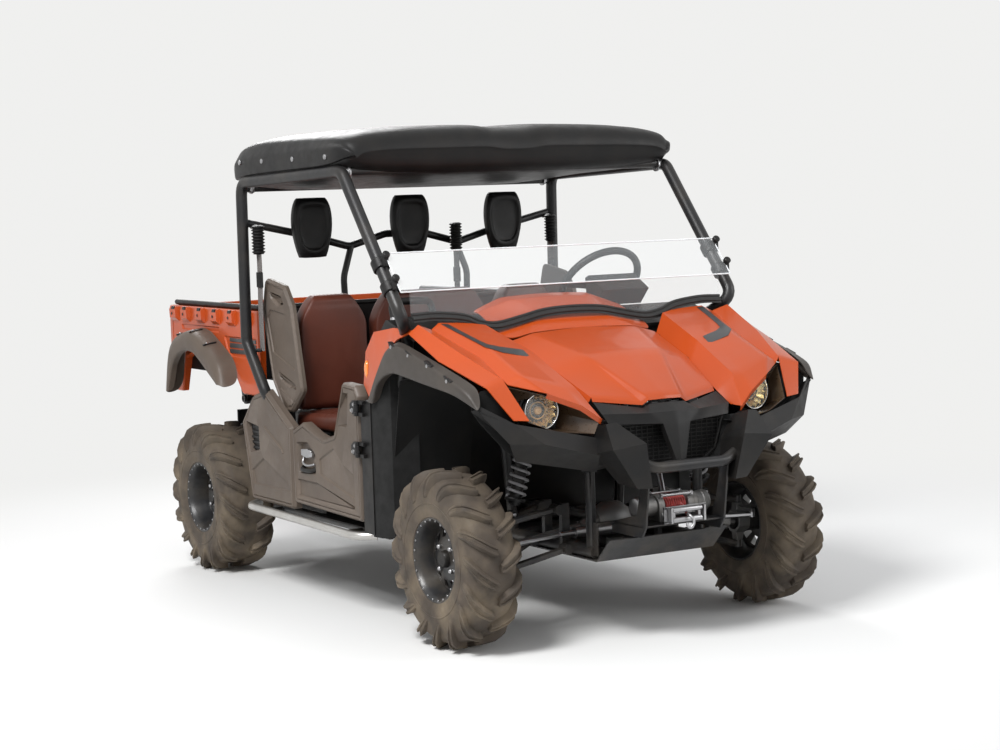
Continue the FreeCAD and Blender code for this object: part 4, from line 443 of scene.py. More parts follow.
class Shape:
    """Corners and faces of one piece, gathered from simple forms."""

    def __init__(self):
        self.points, self.faces = [], []

    def add(self, points, faces):
        start = len(self.points)
        self.points += [Vector(p) for p in points]
        self.faces += [tuple(start + i for i in face) for face in faces]

    def rings(self, rings, closed=False, caps=True):
        """Skin between rings with as many corners each."""
        n, m = len(rings[0]), len(rings)
        faces = []
        for a in range(m if closed else m - 1):
            b = (a + 1) % m
            faces += [(a * n + i, a * n + (i + 1) % n, b * n + (i + 1) % n, b * n + i) for i in range(n)]
        if caps and not closed:
            faces += [tuple(range(n))[::-1], tuple((m - 1) * n + i for i in range(n))]
        self.add([p for ring in rings for p in ring], faces)

    def turned(self, profile, at, axis=(1, 0, 0), sides=FINE, closed=False):
        """Round form: profile is (distance along the axis, radius)."""
        along = Vector(axis).normalized()
        across = along.orthogonal().normalized()
        other = along.cross(across)
        self.rings([circle(Vector(at) + along * d, across, other, max(r, TINY), sides) for d, r in profile],
                   closed, not closed)

    def tube(self, path, radius, sides=FINE, closed=False):
        """Round bar along a path; radius may be one number or one for each point."""
        path = [Vector(p) for p in path]
        radii = radius if isinstance(radius, (list, tuple)) else [radius] * len(path)
        runs = [(path[(i + 1) % len(path)] - path[i]).normalized() for i in range(len(path) - (not closed))]
        across = runs[0].orthogonal().normalized()
        rings = []
        for i, point in enumerate(path):
            before = runs[i - 1] if i or closed else runs[0]
            after = runs[i] if i < len(runs) else runs[-1]
            along = (before + after).normalized()
            across = (across - along * across.dot(along)).normalized()
            other = along.cross(across)
            rings.append(circle(point, across, other, radii[i], sides))
        self.rings(rings, closed, not closed)

    def block(self, x0, x1, y0, y1, z0, z1):
        """Square-edged block between its faces."""
        ring = [(x0, y0), (x1, y0), (x1, y1), (x0, y1)]
        self.rings([[(x, y, z) for x, y in ring] for z in (z0, z1)])

    def prism(self, outline, low, high, axis="x"):
        """Outline in the two other axes, drawn from low to high along the named one."""
        at = "xyz".index(axis)
        self.rings([[p[:at] + (d,) + p[at:] for p in outline] for d in (low, high)])

    def grid(self, rows):
        """Open sheet from rows with as many points each."""
        n = len(rows[0])
        faces = [(a * n + i, a * n + i + 1, (a + 1) * n + i + 1, (a + 1) * n + i)
                 for a in range(len(rows) - 1) for i in range(n - 1)]
        self.add([p for row in rows for p in row], faces)

    def both(self):
        """Adds the other side's copy across the centre plane."""
        count = len(self.points)
        self.points += [Vector((-p.x, p.y, p.z)) for p in self.points]
        self.faces += [tuple(count + i for i in reversed(face)) for face in self.faces]
        return self


def shapes(count):
    """Empty shapes, to be filled side by side."""
    return [Shape() for _ in range(count)]


def bent(points, bend, steps=6):
    """Path along straight runs with round bends of one radius."""
    corners = [Vector(p) for p in points]
    path = [corners[0]]
    for before, corner, after in zip(corners, corners[1:], corners[2:]):
        u, w = (before - corner), (after - corner)
        reach = min(u.length, w.length) * 0.49
        u.normalize()
        w.normalize()
        half = u.angle(w) / 2
        back = min(bend / math.tan(half), reach)
        start, end = corner + u * back, corner + w * back
        for i in range(steps + 1):
            t = i / steps
            path.append(start * (1 - t) ** 2 + corner * 2 * t * (1 - t) + end * t ** 2)
    path.append(corners[-1])
    return path


def spline(points, steps=8):
    """Smooth path through the points."""
    pts = [Vector(p) for p in points]
    pts = [pts[0] * 2 - pts[1]] + pts + [pts[-1] * 2 - pts[-2]]
    path = []
    for a, b, c, d in zip(pts, pts[1:], pts[2:], pts[3:]):
        for i in range(steps):
            t = i / steps
            path.append(0.5 * ((2 * b) + (c - a) * t + (2 * a - 5 * b + 4 * c - d) * t * t
                               + (3 * b - a - 3 * c + d) * t ** 3))
    path.append(pts[-2])
    return path


JOIN_DISTANCE = 0.00005


def piece(name, shape, finish, body="chassis", bevel=0.0, levels=0, wall=0.0, crease=0.0, over=(), slot=None):
    """Object from a shape: joined corners, even normals, its finish, and the body it rides on.

    Bevel and wall are widths in mm, levels are subdivisions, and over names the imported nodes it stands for.
    """
    mesh = bpy.data.meshes.new(name)
    mesh.from_pydata([p * MM for p in shape.points], [], shape.faces)
    work = bmesh.new()
    work.from_mesh(mesh)
    bmesh.ops.remove_doubles(work, verts=work.verts, dist=JOIN_DISTANCE)
    bmesh.ops.recalc_face_normals(work, faces=work.faces)
    if crease:
        layer = work.edges.layers.float.new("crease_edge")
        for edge in work.edges:
            sharp = edge.is_boundary or edge.calc_face_angle(0) > CLEAN_ANGLE
            edge[layer] = crease if sharp else 0.0
    work.to_mesh(mesh)
    work.free()
    mesh.materials.append(FINISH[finish])
    thing = placed(name, mesh)
    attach(thing, body)
    if wall:
        thick = thing.modifiers.new("wall", "SOLIDIFY")
        thick.thickness = wall * MM
        thick.offset = -1
    if levels:
        fine = thing.modifiers.new("fine", "SUBSURF")
        fine.levels = fine.render_levels = levels
    soften(thing, bevel * MM)
    if over:
        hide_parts(*over)
    return thing


# Wheels

AXLE_Z = 328.0
WHEELS = {
    # name: x, y, tyre width
    "fl": (680.0, -1070.0, 212.0), "fr": (-680.0, -1070.0, 212.0),
    "rl": (659.0, 1070.0, 250.0), "rr": (-659.0, 1070.0, 250.0),
}
LUGS, SPOKES, WHEEL_NUTS, RIM_BOLTS = 16, 12, 4, 24
# Along a lug from its foot on the side wall to the middle: inset of its top, radius of its top,
# inset and radius of its root, trail in lug pitches, half width in mm
LUG_LINE = [
    (4, 232, 9, 230, 0.86, 9), (1, 250, 9, 244, 0.80, 12), (0, 270, 12, 262, 0.70, 15),
    (3, 296, 16, 280, 0.56, 18), (14, 317, 26, 294, 0.42, 19), (36, 326.5, 42, 302, 0.28, 19),
    (62, 327.6, 64, 306, 0.15, 18), (84, 328, 84, 307, 0.05, 17), (101, 327, 99, 308, 0.0, 14),
]
# Across a lug: place from edge to edge, then height share
LUG_SECTION = [(-1.5, -0.15), (-1.0, 0.9), (-0.86, 1.0), (-0.5, 1.0), (-0.36, 0.72), (0.36, 0.72),
               (0.5, 1.0), (0.86, 1.0), (1.0, 0.9), (1.5, -0.15)]


# Tyre's side wall: inset from its widest place, radius
TYRE_WALL = [(26, 150), (14, 158), (9, 176), (6, 200), (7, 224), (10, 246), (14, 266), (22, 285), (38, 300),
             (62, 306)]
TYRE_RIB = [(7.5, 204), (4.5, 206), (4.5, 210), (7.5, 212)]
WHEEL_SIDES = 96


def tyre(tag):
    """Carcass with its ribs and crossed lugs."""
    x, y, width = WHEELS[tag]
    at, half = (x, y, AXLE_Z), width / 2
    wall = [(half - inset, r) for inset, r in TYRE_WALL] + [(0, 308)]
    carcass = Shape()
    profile = wall + [(-d, r) for d, r in wall[-2::-1]] + [(-half + 40, 150), (half - 40, 150)]
    carcass.turned(profile, at, sides=WHEEL_SIDES, closed=True)
    for s in (-1, 1):
        carcass.turned([(s * (half - inset), r) for inset, r in TYRE_RIB], at, sides=WHEEL_SIDES, closed=True)
    pitch = 2 * math.pi / LUGS
    for side in (-1, 1):
        for k in range(LUGS):
            rows = []
            for inset, r, root_inset, root_r, trail, wide in LUG_LINE:
                top_x, root_x = half - min(inset, half - 4), half - min(root_inset, half - 4)
                row = []
                for place, height in LUG_SECTION:
                    turn = (k + (0.5 if side < 0 else 0) - trail) * pitch + place * wide / r
                    at_x = root_x + (top_x - root_x) * height
                    at_r = root_r + (r - root_r) * height
                    row.append((x + side * at_x, y + at_r * math.cos(turn), AXLE_Z + at_r * math.sin(turn)))
                rows.append(row)
            carcass.grid(rows)
            for row in (rows[0], rows[-1]):
                carcass.add(row, [tuple(range(len(row)))])
    piece("tread_" + tag, carcass, "tyre_rubber", "wheel_" + tag, bevel=1.2, over=["tyre_" + tag])


# Rim's disc: distance out from the wheel's middle, radius
RIM_DISH = [(34, 30), (32, 50), (32, 66), (28, 80), (20, 100), (16, 112), (14, 126)]
WINDOW_BANDS, WINDOW_STEPS = (3, 4), (2, 3, 4, 5)


def rim(tag):
    """Barrel, disc with its windows, hub cap and nuts."""
    x, y, width = WHEELS[tag]
    side = 1 if x > 0 else -1
    half = (width / 2 - 22) * side
    at = (x, y, AXLE_Z)
    barrel = Shape()
    barrel.turned([(half, 151), (half + 5 * side, 156), (half + 7 * side, 151), (half, 143),
                   (half * 0.8, 138), (half * 0.4, 124), (-half * 0.4, 124), (-half * 0.8, 138), (-half, 143),
                   (-half - 7 * side, 151), (-half - 5 * side, 156), (-half, 151), (-half * 0.5, 128),
                   (half * 0.5, 128)], at, sides=64, closed=True)
    disc = Shape()
    turns = angles(WHEEL_SIDES) + [2 * math.pi]
    points = [(x + side * d, y + r * math.cos(t), AXLE_Z + r * math.sin(t))
              for d, r in RIM_DISH for t in turns]
    n = len(turns)
    disc.add(points, [(a * n + i, a * n + i + 1, (a + 1) * n + i + 1, (a + 1) * n + i)
                      for a in range(len(RIM_DISH) - 1) for i in range(WHEEL_SIDES)
                      if a not in WINDOW_BANDS or i % (WHEEL_SIDES // SPOKES) not in WINDOW_STEPS])
    piece("rim_barrel_" + tag, barrel, "rim_paint", "wheel_" + tag, bevel=0.6, over=["rim_" + tag])
    piece("rim_disc_" + tag, disc, "rim_paint", "wheel_" + tag, bevel=1.5, wall=6.0 * side)
    hub, nuts = shapes(2)
    hub.turned([(-48 * side, 0), (-48 * side, 44), (20 * side, 44), (34 * side, 40), (36 * side, 33),
                (54 * side, 31), (60 * side, 27), (61 * side, 0)], at, sides=40)
    piece("hub_cap_" + tag, hub, "black_plastic", "wheel_" + tag, bevel=1.2)
    for t in angles(WHEEL_NUTS, 0.5):
        nut = (x + 31 * side, y + 57 * math.cos(t), AXLE_Z + 57 * math.sin(t))
        nuts.turned([(0, 0), (0, 13), (3 * side, 13), (3 * side, 10), (16 * side, 9.5), (20 * side, 6),
                     (20 * side, 0)], nut, sides=12)
    for t in angles(RIM_BOLTS, 0.5):
        bolt = (x + half + 3 * side, y + 146 * math.cos(t), AXLE_Z + 146 * math.sin(t))
        nuts.turned([(0, 0), (0, 4), (3 * side, 4), (4 * side, 0)], bolt, sides=6)
    piece("wheel_nuts_" + tag, nuts, "steel", "wheel_" + tag, bevel=0.4)


for tag in WHEELS:
    tyre(tag)
    rim(tag)

# Cage, roof and screen

CAGE_R, CROSS_R = 24.0, 19.0
PILLAR_TOP = (754.0, -422.0, 1735.0)
PILLAR_FOOT = (756.0, -861.0, 1200.0)
REAR_X, REAR_Y = 766.0, 505.0
CAGE_PATH = [(650, -470, 345), (652, -640, 900), (668, -745, 1105), PILLAR_FOOT, PILLAR_TOP,
             (756, -375, 1740), (REAR_X, REAR_Y - 10, 1714), (REAR_X, REAR_Y, 1050),
             (REAR_X - 30, 400, 838), (REAR_X - 82, 400, 762), (650, 400, 345)]


def pillar(z, forward=0.0):
    """Point on the left front pillar at a height, moved forward square to it."""
    foot, top = Vector(PILLAR_FOOT), Vector(PILLAR_TOP)
    along = (top - foot).normalized()
    point = foot + (top - foot) * ((z - foot.z) / (top.z - foot.z))
    return point + Vector((0, -along.z, along.y)) * forward


def cage():
    """Side hoops, cross tubes, belt bar with its legs, and the bolted couplings."""
    hoops, cross, plates = shapes(3)
    hoops.tube(bent(CAGE_PATH, 60), CAGE_R)
    piece("cage_hoops", hoops.both(), "frame_paint", over=["cage_sides"])
    for x, y, z in ((745, -400, 1742), (756, REAR_Y - 6, 1694)):
        cross.tube([(-x, y, z), (x, y, z)], CROSS_R)
    bar = [(766, REAR_Y, 1551), (472, REAR_Y, 1486), (270, REAR_Y, 1430), (90, REAR_Y, 1478)]
    cross.tube(bent(with_mirror(bar), 70), 16)
    for s in (-1, 1):
        leg = [(258, -2, 1434), (306, -14, 1300), (300, -14, 1100), (290, -10, 687)]
        cross.tube(bent([(s * x, REAR_Y + y, z) for x, y, z in leg], 120), 14)
    piece("cage_bars", cross, "frame_paint", over=["cage_cross"])
    for s in (-1, 1):
        for y, z in ((-400, 1735), (REAR_Y - 6, 1694)):
            plates.turned([(0, 27), (7 * s, 27), (9 * s, 24), (16 * s, 22)], (s * 716, y, z))
            for t in angles(3):
                plates.turned([(0, 4.5), (-5 * s, 4.5), (-6 * s, 0)],
                              (s * 716, y + 21 * math.cos(t), z + 21 * math.sin(t)), sides=6)
    piece("cage_couplings", plates, "steel", bevel=0.5, slot="frame_paint")


ROOF_LINES = [
    # y, half width, edge z, shoulder x, shoulder z, crown z
    (-476, 728, 1796, 706, 1812, 1822), (-470, 744, 1794, 716, 1836, 1852),
    (-448, 764, 1788, 734, 1866, 1890), (-400, 777, 1774, 746, 1880, 1910),
    (-300, 782, 1762, 752, 1888, 1918), (-100, 782, 1757, 754, 1889, 1921),
    (120, 782, 1752, 756, 1890, 1922), (300, 782, 1746, 756, 1890, 1922),
    (430, 780, 1740, 753, 1880, 1916), (530, 776, 1735, 748, 1864, 1904),
    (578, 760, 1728, 732, 1838, 1880), (600, 744, 1724, 716, 1796, 1830),
]
ROOF_LINING = [
    # half width, y, z of the middle, z of the edge
    (712, -466, 1834, 1806), (738, -454, 1778, 1798), (756, -440, 1738, 1790), (766, -400, 1716, 1780),
    (770, -200, 1712, 1766), (772, 200, 1698, 1756), (772, 450, 1676, 1744), (768, 520, 1672, 1740),
    (752, 584, 1712, 1734), (742, 593, 1768, 1742), (728, 594, 1822, 1752),
]
ROOF_BOLT_YS = (-330, -40, 250, 470)


def roof():
    """Moulded shell, its inner lining and the bolts along its sides."""
    shell, ceiling, trim = shapes(3)
    rows = []
    for y, edge_x, edge_z, x, z, crown in ROOF_LINES:
        half = [(0, crown - 12), (x * 0.10, crown - 12), (x * 0.16, crown - 3), (x * 0.22, crown),
                (x * 0.5, crown - 3), (x * 0.70, z + (crown - z) * 0.72), (x * 0.76, z + (crown - z) * 0.52),
                (x * 0.84, z + (crown - z) * 0.44), (x * 0.955, z - 2), (x, z - 14), (x * 1.012, z - 30),
                (edge_x - 2, (edge_z + z) / 2 + 6), (edge_x, (edge_z + z) / 2 - 4),
                (edge_x - 2, edge_z + 8), (edge_x - 6, edge_z), (edge_x - 30, edge_z)]
        rows.append([(-a, y, b) for a, b in reversed(half[1:])] + [(a, y, b) for a, b in half])
    shell.grid(rows)
    piece("roof_shell", shell, "black_plastic", levels=2, wall=4.0, over=["roof"])
    ceiling.grid([[(-edge, y, high), (-edge + 22, y, z + 8), (-edge * 0.5, y, z), (0, y, z + 2),
                   (edge * 0.5, y, z), (edge - 22, y, z + 8), (edge, y, high)]
                  for edge, y, z, high in ROOF_LINING])
    piece("roof_lining", ceiling, "black_plastic", levels=1, wall=3.0)
    for s in (-1, 1):
        for y in ROOF_BOLT_YS:
            trim.turned([(0, 11), (4 * s, 10), (6 * s, 6), (6 * s, 0)], (s * 779, y, 1798), sides=16)
    piece("roof_bolts", trim, "steel", bevel=0.4)


SCREEN_X, SCREEN_TOP_Z, SCREEN_LOW_Z, SCREEN_AHEAD = 750, 1397, 1256, 51.5
CLAMP_ZS = (1385, 1300)


def screen():
    """Frosted sawn edges of the clear sheet, made paler by a painted highlight along them, and clamp collars
    with knobs.
    """
    edges, clamps, knobs = shapes(3)
    top, low = pillar(SCREEN_TOP_Z, SCREEN_AHEAD), pillar(SCREEN_LOW_Z, SCREEN_AHEAD)
    a, b, c, d = ((x, at.y, at.z) for at in (top, low) for x in (-SCREEN_X, SCREEN_X))
    for ends, radius in (((a, b), 2.8), ((a, c), 2.4), ((b, d), 2.4), ((c, d), 2.8)):
        edges.tube(ends, radius, 8)
    piece("screen_edges", edges, "screen_edge", slot="clear_screen")
    along = (Vector(PILLAR_TOP) - Vector(PILLAR_FOOT)).normalized()
    forward = Vector((0, -along.z, along.y))
    for z in CLAMP_ZS:
        at = pillar(z)
        clamps.turned([(-22, 25.5), (-22, 30), (-19, 32.5), (19, 32.5), (22, 30), (22, 25.5)], at, along,
                      closed=True)
        clamps.block(at.x - 9, at.x + 9, at.y - 52, at.y - 24, at.z - 2, at.z + 30)
        clamps.turned([(24, 12), (48.5, 10)], at, forward)
        knobs.turned([(54.5, 0), (54.5, 13), (57, 15), (70, 15), (74, 11), (75, 0)], at, forward, 12)
    piece("clamp_collars", clamps.both(), "black_plastic", bevel=1.0, over=["windshield_clamps"])
    piece("clamp_knobs", knobs.both(), "black_plastic", bevel=1.5)


cage()
roof()
screen()

# Seats

SEAT_TOP, SEAT_FRONT, SEAT_REAR = 690.3, -150.0, 320.0
BACK_LOW, BACK_TOP, BACK_FRONT, BACK_REAR = 762.8, 1238.0, 266.0, 343.0
SEAT_PLACES = [
    # x, half width, middle seam
    (-472.0, 172.0, False), (0.0, 290.0, True), (472.0, 172.0, False),
]
PAD_STEP = 26


def rounded_pad(low, high, corner, crown, channels, pinch, reshape):
    """Crowned pad: a rounded box whose faces swell, drawn in along its sewn channels.

    Crown is (axis, side, rise). Channels are (axis, place, depth, width) on the face that looks along
    the crown's axis. Reshape moves each finished point.
    """
    low, high = Vector(low), Vector(high)
    size, middle = high - low, (low + high) / 2
    counts = [max(6, round(size[i] / PAD_STEP) * 2) for i in range(3)]
    work = bmesh.new()
    bmesh.ops.create_cube(work, size=2.0)
    for axis in range(3):
        edges = [e for e in work.edges
                 if abs((e.verts[0].co - e.verts[1].co).normalized()[axis]) > 0.9]
        bmesh.ops.subdivide_edges(work, edges=edges, cuts=counts[axis], use_grid_fill=True)
    crown_axis, crown_side, crown_rise = crown
    for vert in work.verts:
        unit = Vector(vert.co)
        p = Vector([unit[i] * size[i] / 2 for i in range(3)])
        core = Vector([max(-(size[i] / 2 - corner), min(size[i] / 2 - corner, p[i])) for i in range(3)])
        out = p - core
        if out.length > corner:
            p = core + out.normalized() * corner
        others = [i for i in range(3) if i != crown_axis]
        fall = math.prod(max(0.0, 1 - abs(unit[i]) ** 3.2) for i in others)
        if unit[crown_axis] * crown_side > 0:
            p[crown_axis] += crown_side * crown_rise * fall
        for i in others:
            side_fall = max(0.0, 1 - abs(unit[crown_axis]) ** 2)
            p[i] *= 1 + pinch * side_fall * (1 - abs(unit[others[0] if i == others[1] else others[1]]) ** 2)
        place = p + middle
        if unit[crown_axis] * crown_side > 0.2:
            for axis, at, depth, wide in channels:
                away = (place[axis] - at) / wide
                place[crown_axis] -= crown_side * depth * math.exp(-away * away)
        vert.co = place
        vert.co = reshape(vert.co)
    shape = Shape()
    work.verts.index_update()
    shape.add([v.co.copy() for v in work.verts], [tuple(v.index for v in f.verts) for f in work.faces])
    work.free()
    return shape


def seats():
    """Cushions and backs of the three places, with their sewn channels."""
    backs, cushions = [], []
    for number, (x, half, seam) in enumerate(SEAT_PLACES):
        channels = [(0, x, 9, 7)] if seam else []
        channels += [(1, 40, 3, 6)]
        channels += [(0, x + sign * (half - 40), 5, 6) for sign in (-1, 1)]

        def slope(p):
            """The cushion's front edge stands higher and rolls over."""
            share = max(0.0, min(1.0, (200 - p.y) / 320))
            if p.z > SEAT_TOP + 30:
                p.z += 18 * share - 14 * max(0.0, (-110 - p.y) / 40) ** 2
            return p

        pad = rounded_pad((x - half + 1, SEAT_FRONT, SEAT_TOP), (x + half - 1, SEAT_REAR, SEAT_TOP + 66), 26,
                          (2, 1, 10), channels, 0.004, slope)
        cushions.append(piece("seat_cushion_%d" % number, pad, "vinyl", levels=1))

        def taper(p, x=x, half=half):
            """Upper corners of a back slope in to its top."""
            over = max(0.0, (p.z - 1110) / 128)
            limit = half - 96 * over ** 1.5
            away = p.x - x
            if abs(away) > limit - 20:
                p.x = x + math.copysign(min(abs(away), limit - 20 + (abs(away) - limit + 20) * 0.25), away)
            return p

        channels = [(0, x + sign * (half - 34), 4, 5) for sign in (-1, 1)]
        channels += [(2, 1196, 4, 5)]
        channels += [(0, x, 6, 6)] if seam else []
        pad = rounded_pad((x - half + 1, BACK_FRONT, BACK_LOW), (x + half - 1, BACK_REAR, BACK_TOP), 28,
                          (1, -1, 14), channels, 0.006, taper)
        backs.append(piece("seat_back_%d" % number, pad, "vinyl", levels=1))
    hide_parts("seat_cushions")
    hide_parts("seat_backs")


HEADREST_Y, HEADREST_Z = 443.0, 1516.0
HEADREST_LINE = [(-66, 128), (66, 128), (90, 92), (97, -10), (62, -126), (-62, -126), (-97, -10), (-90, 92)]
# From its back to its dished face: distance behind the middle, share of the outline
HEADREST_DEPTHS = [(22, 0.80), (21, 0.94), (12, 1.0), (-8, 1.0), (-18, 0.96), (-23, 0.88), (-23, 0.80),
                   (-19, 0.74), (-14, 0.68), (-13, 0.5), (-13, 0.2)]


def headrests():
    """Dished head restraints and their holders on the belt bar."""
    y = HEADREST_Y
    for number, (x, _, _) in enumerate(SEAT_PLACES):
        shape, holder = shapes(2)
        shape.rings([[(x + dx * scale, y + depth, HEADREST_Z + dz * scale) for dx, dz in HEADREST_LINE]
                     for depth, scale in HEADREST_DEPTHS])
        thing = piece("head_restraint_%d" % number, shape, "black_plastic", levels=2, crease=0.55)
        if not number:
            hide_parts("headrests")
        holder.block(x - 26, x + 26, y + 20, y + 44, HEADREST_Z - 52, HEADREST_Z + 20)
        holder.turned([(-14, 22), (14, 22)], (x, 505, 1486 if x else 1478), sides=24)
        piece("head_holder_%d" % number, holder, "black_plastic", bevel=2.0)


BELTS = [
    # x, top z, low z
    (-722, 1536, 1000), (228, 1516, 691), (722, 1536, 1000),
]


def belts():
    """Ribbed boots, webbing and tongues of the three belts."""
    boots, webs, tongues = shapes(3)
    y = REAR_Y - 62
    for x, top, low in BELTS:
        profile = [(0, 0), (0, 16)]
        for i in range(9):
            profile += [(2 + 13 * i, 21), (6 + 13 * i, 28), (9 + 13 * i, 28), (13 + 13 * i, 21)]
        profile += [(120, 24), (124, 0)]
        boots.turned(profile, (x, y, top), (0, 0, -1), 24)
        inward = -1 if x > 0 else 1
        path = [(x, y, top - 118), (x, y - 2, top - 200), (x, y + 4, low + 180), (x, y, low + 10)]
        webs.grid([[p + Vector((0, -23, 0)), p + Vector((inward, 0, 0)), p + Vector((0, 23, 0))]
                   for p in spline(path, 10)])
        tongues.block(x - 4, x + 4, y - 27, y + 27, top - 260, top - 196)
        hold_z = top - 6 if abs(x) > 300 else 1442
        boots.tube([(x, y, hold_z), (x, REAR_Y, hold_z)], 9, 16)
        if abs(x) > 300:
            boots.tube([(x, y + 10, low + 12), (math.copysign(REAR_X, x), REAR_Y, low + 12)], 8, 16)
    piece("belt_boots", boots, "black_plastic", bevel=0.5, over=["seat_belts"])
    piece("belt_webbing", webs, "webbing", wall=1.6)
    piece("belt_tongues", tongues, "black_plastic", bevel=2.0)


seats()
headrests()
belts()

# Painted and moulded panels: named corners, faces listed by corner names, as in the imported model

PANEL_WALL = 4.0
FOLD_ANGLE = math.radians(9)


def moulded(name, points, faces, finish, over=(), body="chassis", crease=1.0, slot=None, bevel=1.2,
            curved=False):
    """Panel and its mirror image, with rounded folds, from a table of the left one's corners."""
    shape = Shape()
    names = list(points)
    shape.add([points[n] for n in names], [tuple(names.index(n) for n in face.split()) for face in faces])
    thing = piece(name, shape.both(), finish, body, levels=3, wall=PANEL_WALL, bevel=bevel, slot=slot)
    work = bmesh.new()
    work.from_mesh(thing.data)
    layer = work.edges.layers.float.new("crease_edge")
    for edge in work.edges:
        if edge.is_boundary:
            edge[layer] = 1.0
        elif edge.calc_face_angle(0) > FOLD_ANGLE:
            edge[layer] = crease
    work.to_mesh(thing.data)
    work.free()
    for modifier in thing.modifiers:
        if modifier.type == "SUBSURF":
            modifier.boundary_smooth = "PRESERVE_CORNERS"
            modifier.subdivision_type = "CATMULL_CLARK" if curved else "SIMPLE"
    if over:
        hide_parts(*over)


def strip(rows, letters):
    """Corners and faces of a long folded strip; each row gives one corner for each letter."""
    points = {letter + str(i): p for i, row in enumerate(rows) for letter, p in zip(letters, row)}
    faces = [" ".join((a + str(i), b + str(i), b + str(i + 1), a + str(i + 1)))
             for i in range(len(rows) - 1) for a, b in zip(letters, letters[1:])]
    return points, faces


HOOD = {
    "rm": (0, -915, 1122), "rr": (235, -925, 1110), "re": (330, -915, 1084), "rs": (338, -918, 1058),
    "mm": (0, -1180, 1040), "mr": (168, -1185, 1034), "me": (306, -1160, 1000), "ms": (314, -1160, 974),
    "fm": (0, -1440, 894), "fn": (74, -1436, 892), "fr": (98, -1431, 876), "fe": (270, -1370, 900),
    "fs": (282, -1362, 876), "lm": (0, -1447, 882), "ln": (72, -1443, 880), "lr": (96, -1438, 864),
    "le": (270, -1378, 885),
}
HOOD_FACES = ["rm rr mr mm", "rr re me mr", "mm mr fn fm", "mr fr fn", "mr me fe fr", "re rs ms me",
              "me ms fs fe", "fm fn ln lm", "fn fr lr ln", "fr fe le lr"]
FENDER = {
    "ar": (346, -905, 1076), "am": (318, -1150, 990), "af": (286, -1368, 886),
    "br": (404, -868, 1150), "bm": (368, -1140, 1058), "bf": (350, -1384, 946),
    "cr": (480, -850, 1162), "cm": (432, -1130, 1070), "cf": (392, -1388, 947),
    "er": (600, -860, 1168), "em": (545, -1130, 1080), "ef": (545, -1345, 992),
    "vr": (640, -876, 1146), "vm": (590, -1130, 1054), "vf": (596, -1336, 968),
    "hr": (704, -892, 1168), "hm": (668, -1130, 1074), "hf": (612, -1330, 986),
    "kt": (307, -1494, 834), "kf": (296, -1440, 838), "kl": (375, -1470, 886), "kh": (485, -1418, 934),
    "ir": (738, -880, 1136), "im": (740, -1100, 1048), "if": (690, -1350, 962),
    "ti": (570, -1432, 845), "to": (628, -1424, 850),
    "xt": (310, -1486, 816), "xl": (378, -1462, 868), "xh": (486, -1410, 915),
}
FENDER_FACES = ["ar br bm am", "am bm bf af", "br cr cm bm", "bm cm cf bf", "cr er em cm", "cm em ef cf",
                "er vr vm em", "em vm vf ef", "vr hr hm vm", "vm hm hf vf", "hr ir im hm", "hm im if hf",
                "hf if to ti", "af bf kt kf", "bf cf kl kt", "cf ef kh kl", "ef vf kh", "kt kl xl xt",
                "kl kh xh xl"]
SIDE = {
    "a": (706, -870, 1146), "b": (704, -700, 1150), "c": (708, -545, 1128), "d": (712, -480, 1050),
    "e": (718, -466, 925), "f": (740, -560, 872), "g": (742, -640, 965), "h": (742, -735, 1080),
    "i": (740, -790, 1112),
}
SIDE_FACES = ["a b h i", "b c g h", "c d g", "d e f g"]
COWL = {
    "am": (0, -905, 1124), "ar": (236, -915, 1112), "ae": (334, -905, 1086),
    "bm": (0, -812, 1180), "bh": (126, -820, 1174), "bd": (336, -815, 1134),
    "dm": (0, -760, 1206), "ds": (150, -760, 1200), "de": (330, -742, 1160),
    "cm": (0, -700, 1236), "cs": (190, -700, 1228), "ce": (322, -670, 1188),
    "tm": (0, -640, 1246), "ts": (200, -640, 1236), "te": (330, -620, 1184),
}
COWL_FACES = ["am ar bh bm", "ar ae bd bh", "bm bh ds dm", "bh bd de ds", "dm ds cs cm", "ds de ce cs",
              "cm cs ts tm", "cs ce te ts"]
FASCIA = {
    "hm": (0, -1458, 870), "hn": (76, -1454, 868), "hr": (100, -1447, 855), "he": (272, -1384, 884),
    "nm": (0, -1510, 842), "nr": (112, -1500, 840), "ne": (280, -1452, 846),
    "lm": (0, -1522, 790), "lr": (60, -1514, 800), "le": (262, -1470, 808),
    "sm": (0, -1540, 668), "ss": (22, -1536, 670), "ur": (64, -1494, 796), "ue": (258, -1452, 804),
    "us": (26, -1516, 668),
}
FASCIA_FACES = ["hm hn nr nm", "hn hr nr", "hr he ne nr", "nm nr lr lm", "nr ne le lr", "lm lr ss sm",
                "lr le ue ur", "lr ur us ss"]
WING = {
    "tt": (743, -1350, 914), "tl": (743, -1356, 896), "co": (628, -1432, 838), "ci": (330, -1492, 770),
    "ko": (650, -1428, 768), "km": (543, -1488, 764), "ki": (345, -1530, 712), "uo": (600, -1380, 700),
    "ui": (300, -1440, 640),
}
WING_FACES = ["tt co ko tl", "co ci ki km", "co km ko", "ko km uo", "km ki ui uo"]
LOBE = {
    "bt": (318, -1462, 812), "bi": (282, -1466, 800), "to": (330, -1550, 822), "ti": (290, -1556, 826),
    "ko": (348, -1622, 738), "ki": (214, -1630, 752), "lo": (240, -1606, 590), "li": (182, -1615, 588),
    "qo": (352, -1500, 715), "ql": (250, -1500, 600), "qi": (206, -1500, 730), "qb": (182, -1510, 590),
}
LOBE_FACES = ["bt to ti bi", "to ko ki ti", "ko lo li ki", "bt qo ko to", "qo ql lo ko", "bi ti ki qi",
              "qi ki li qb", "ql qb li lo"]
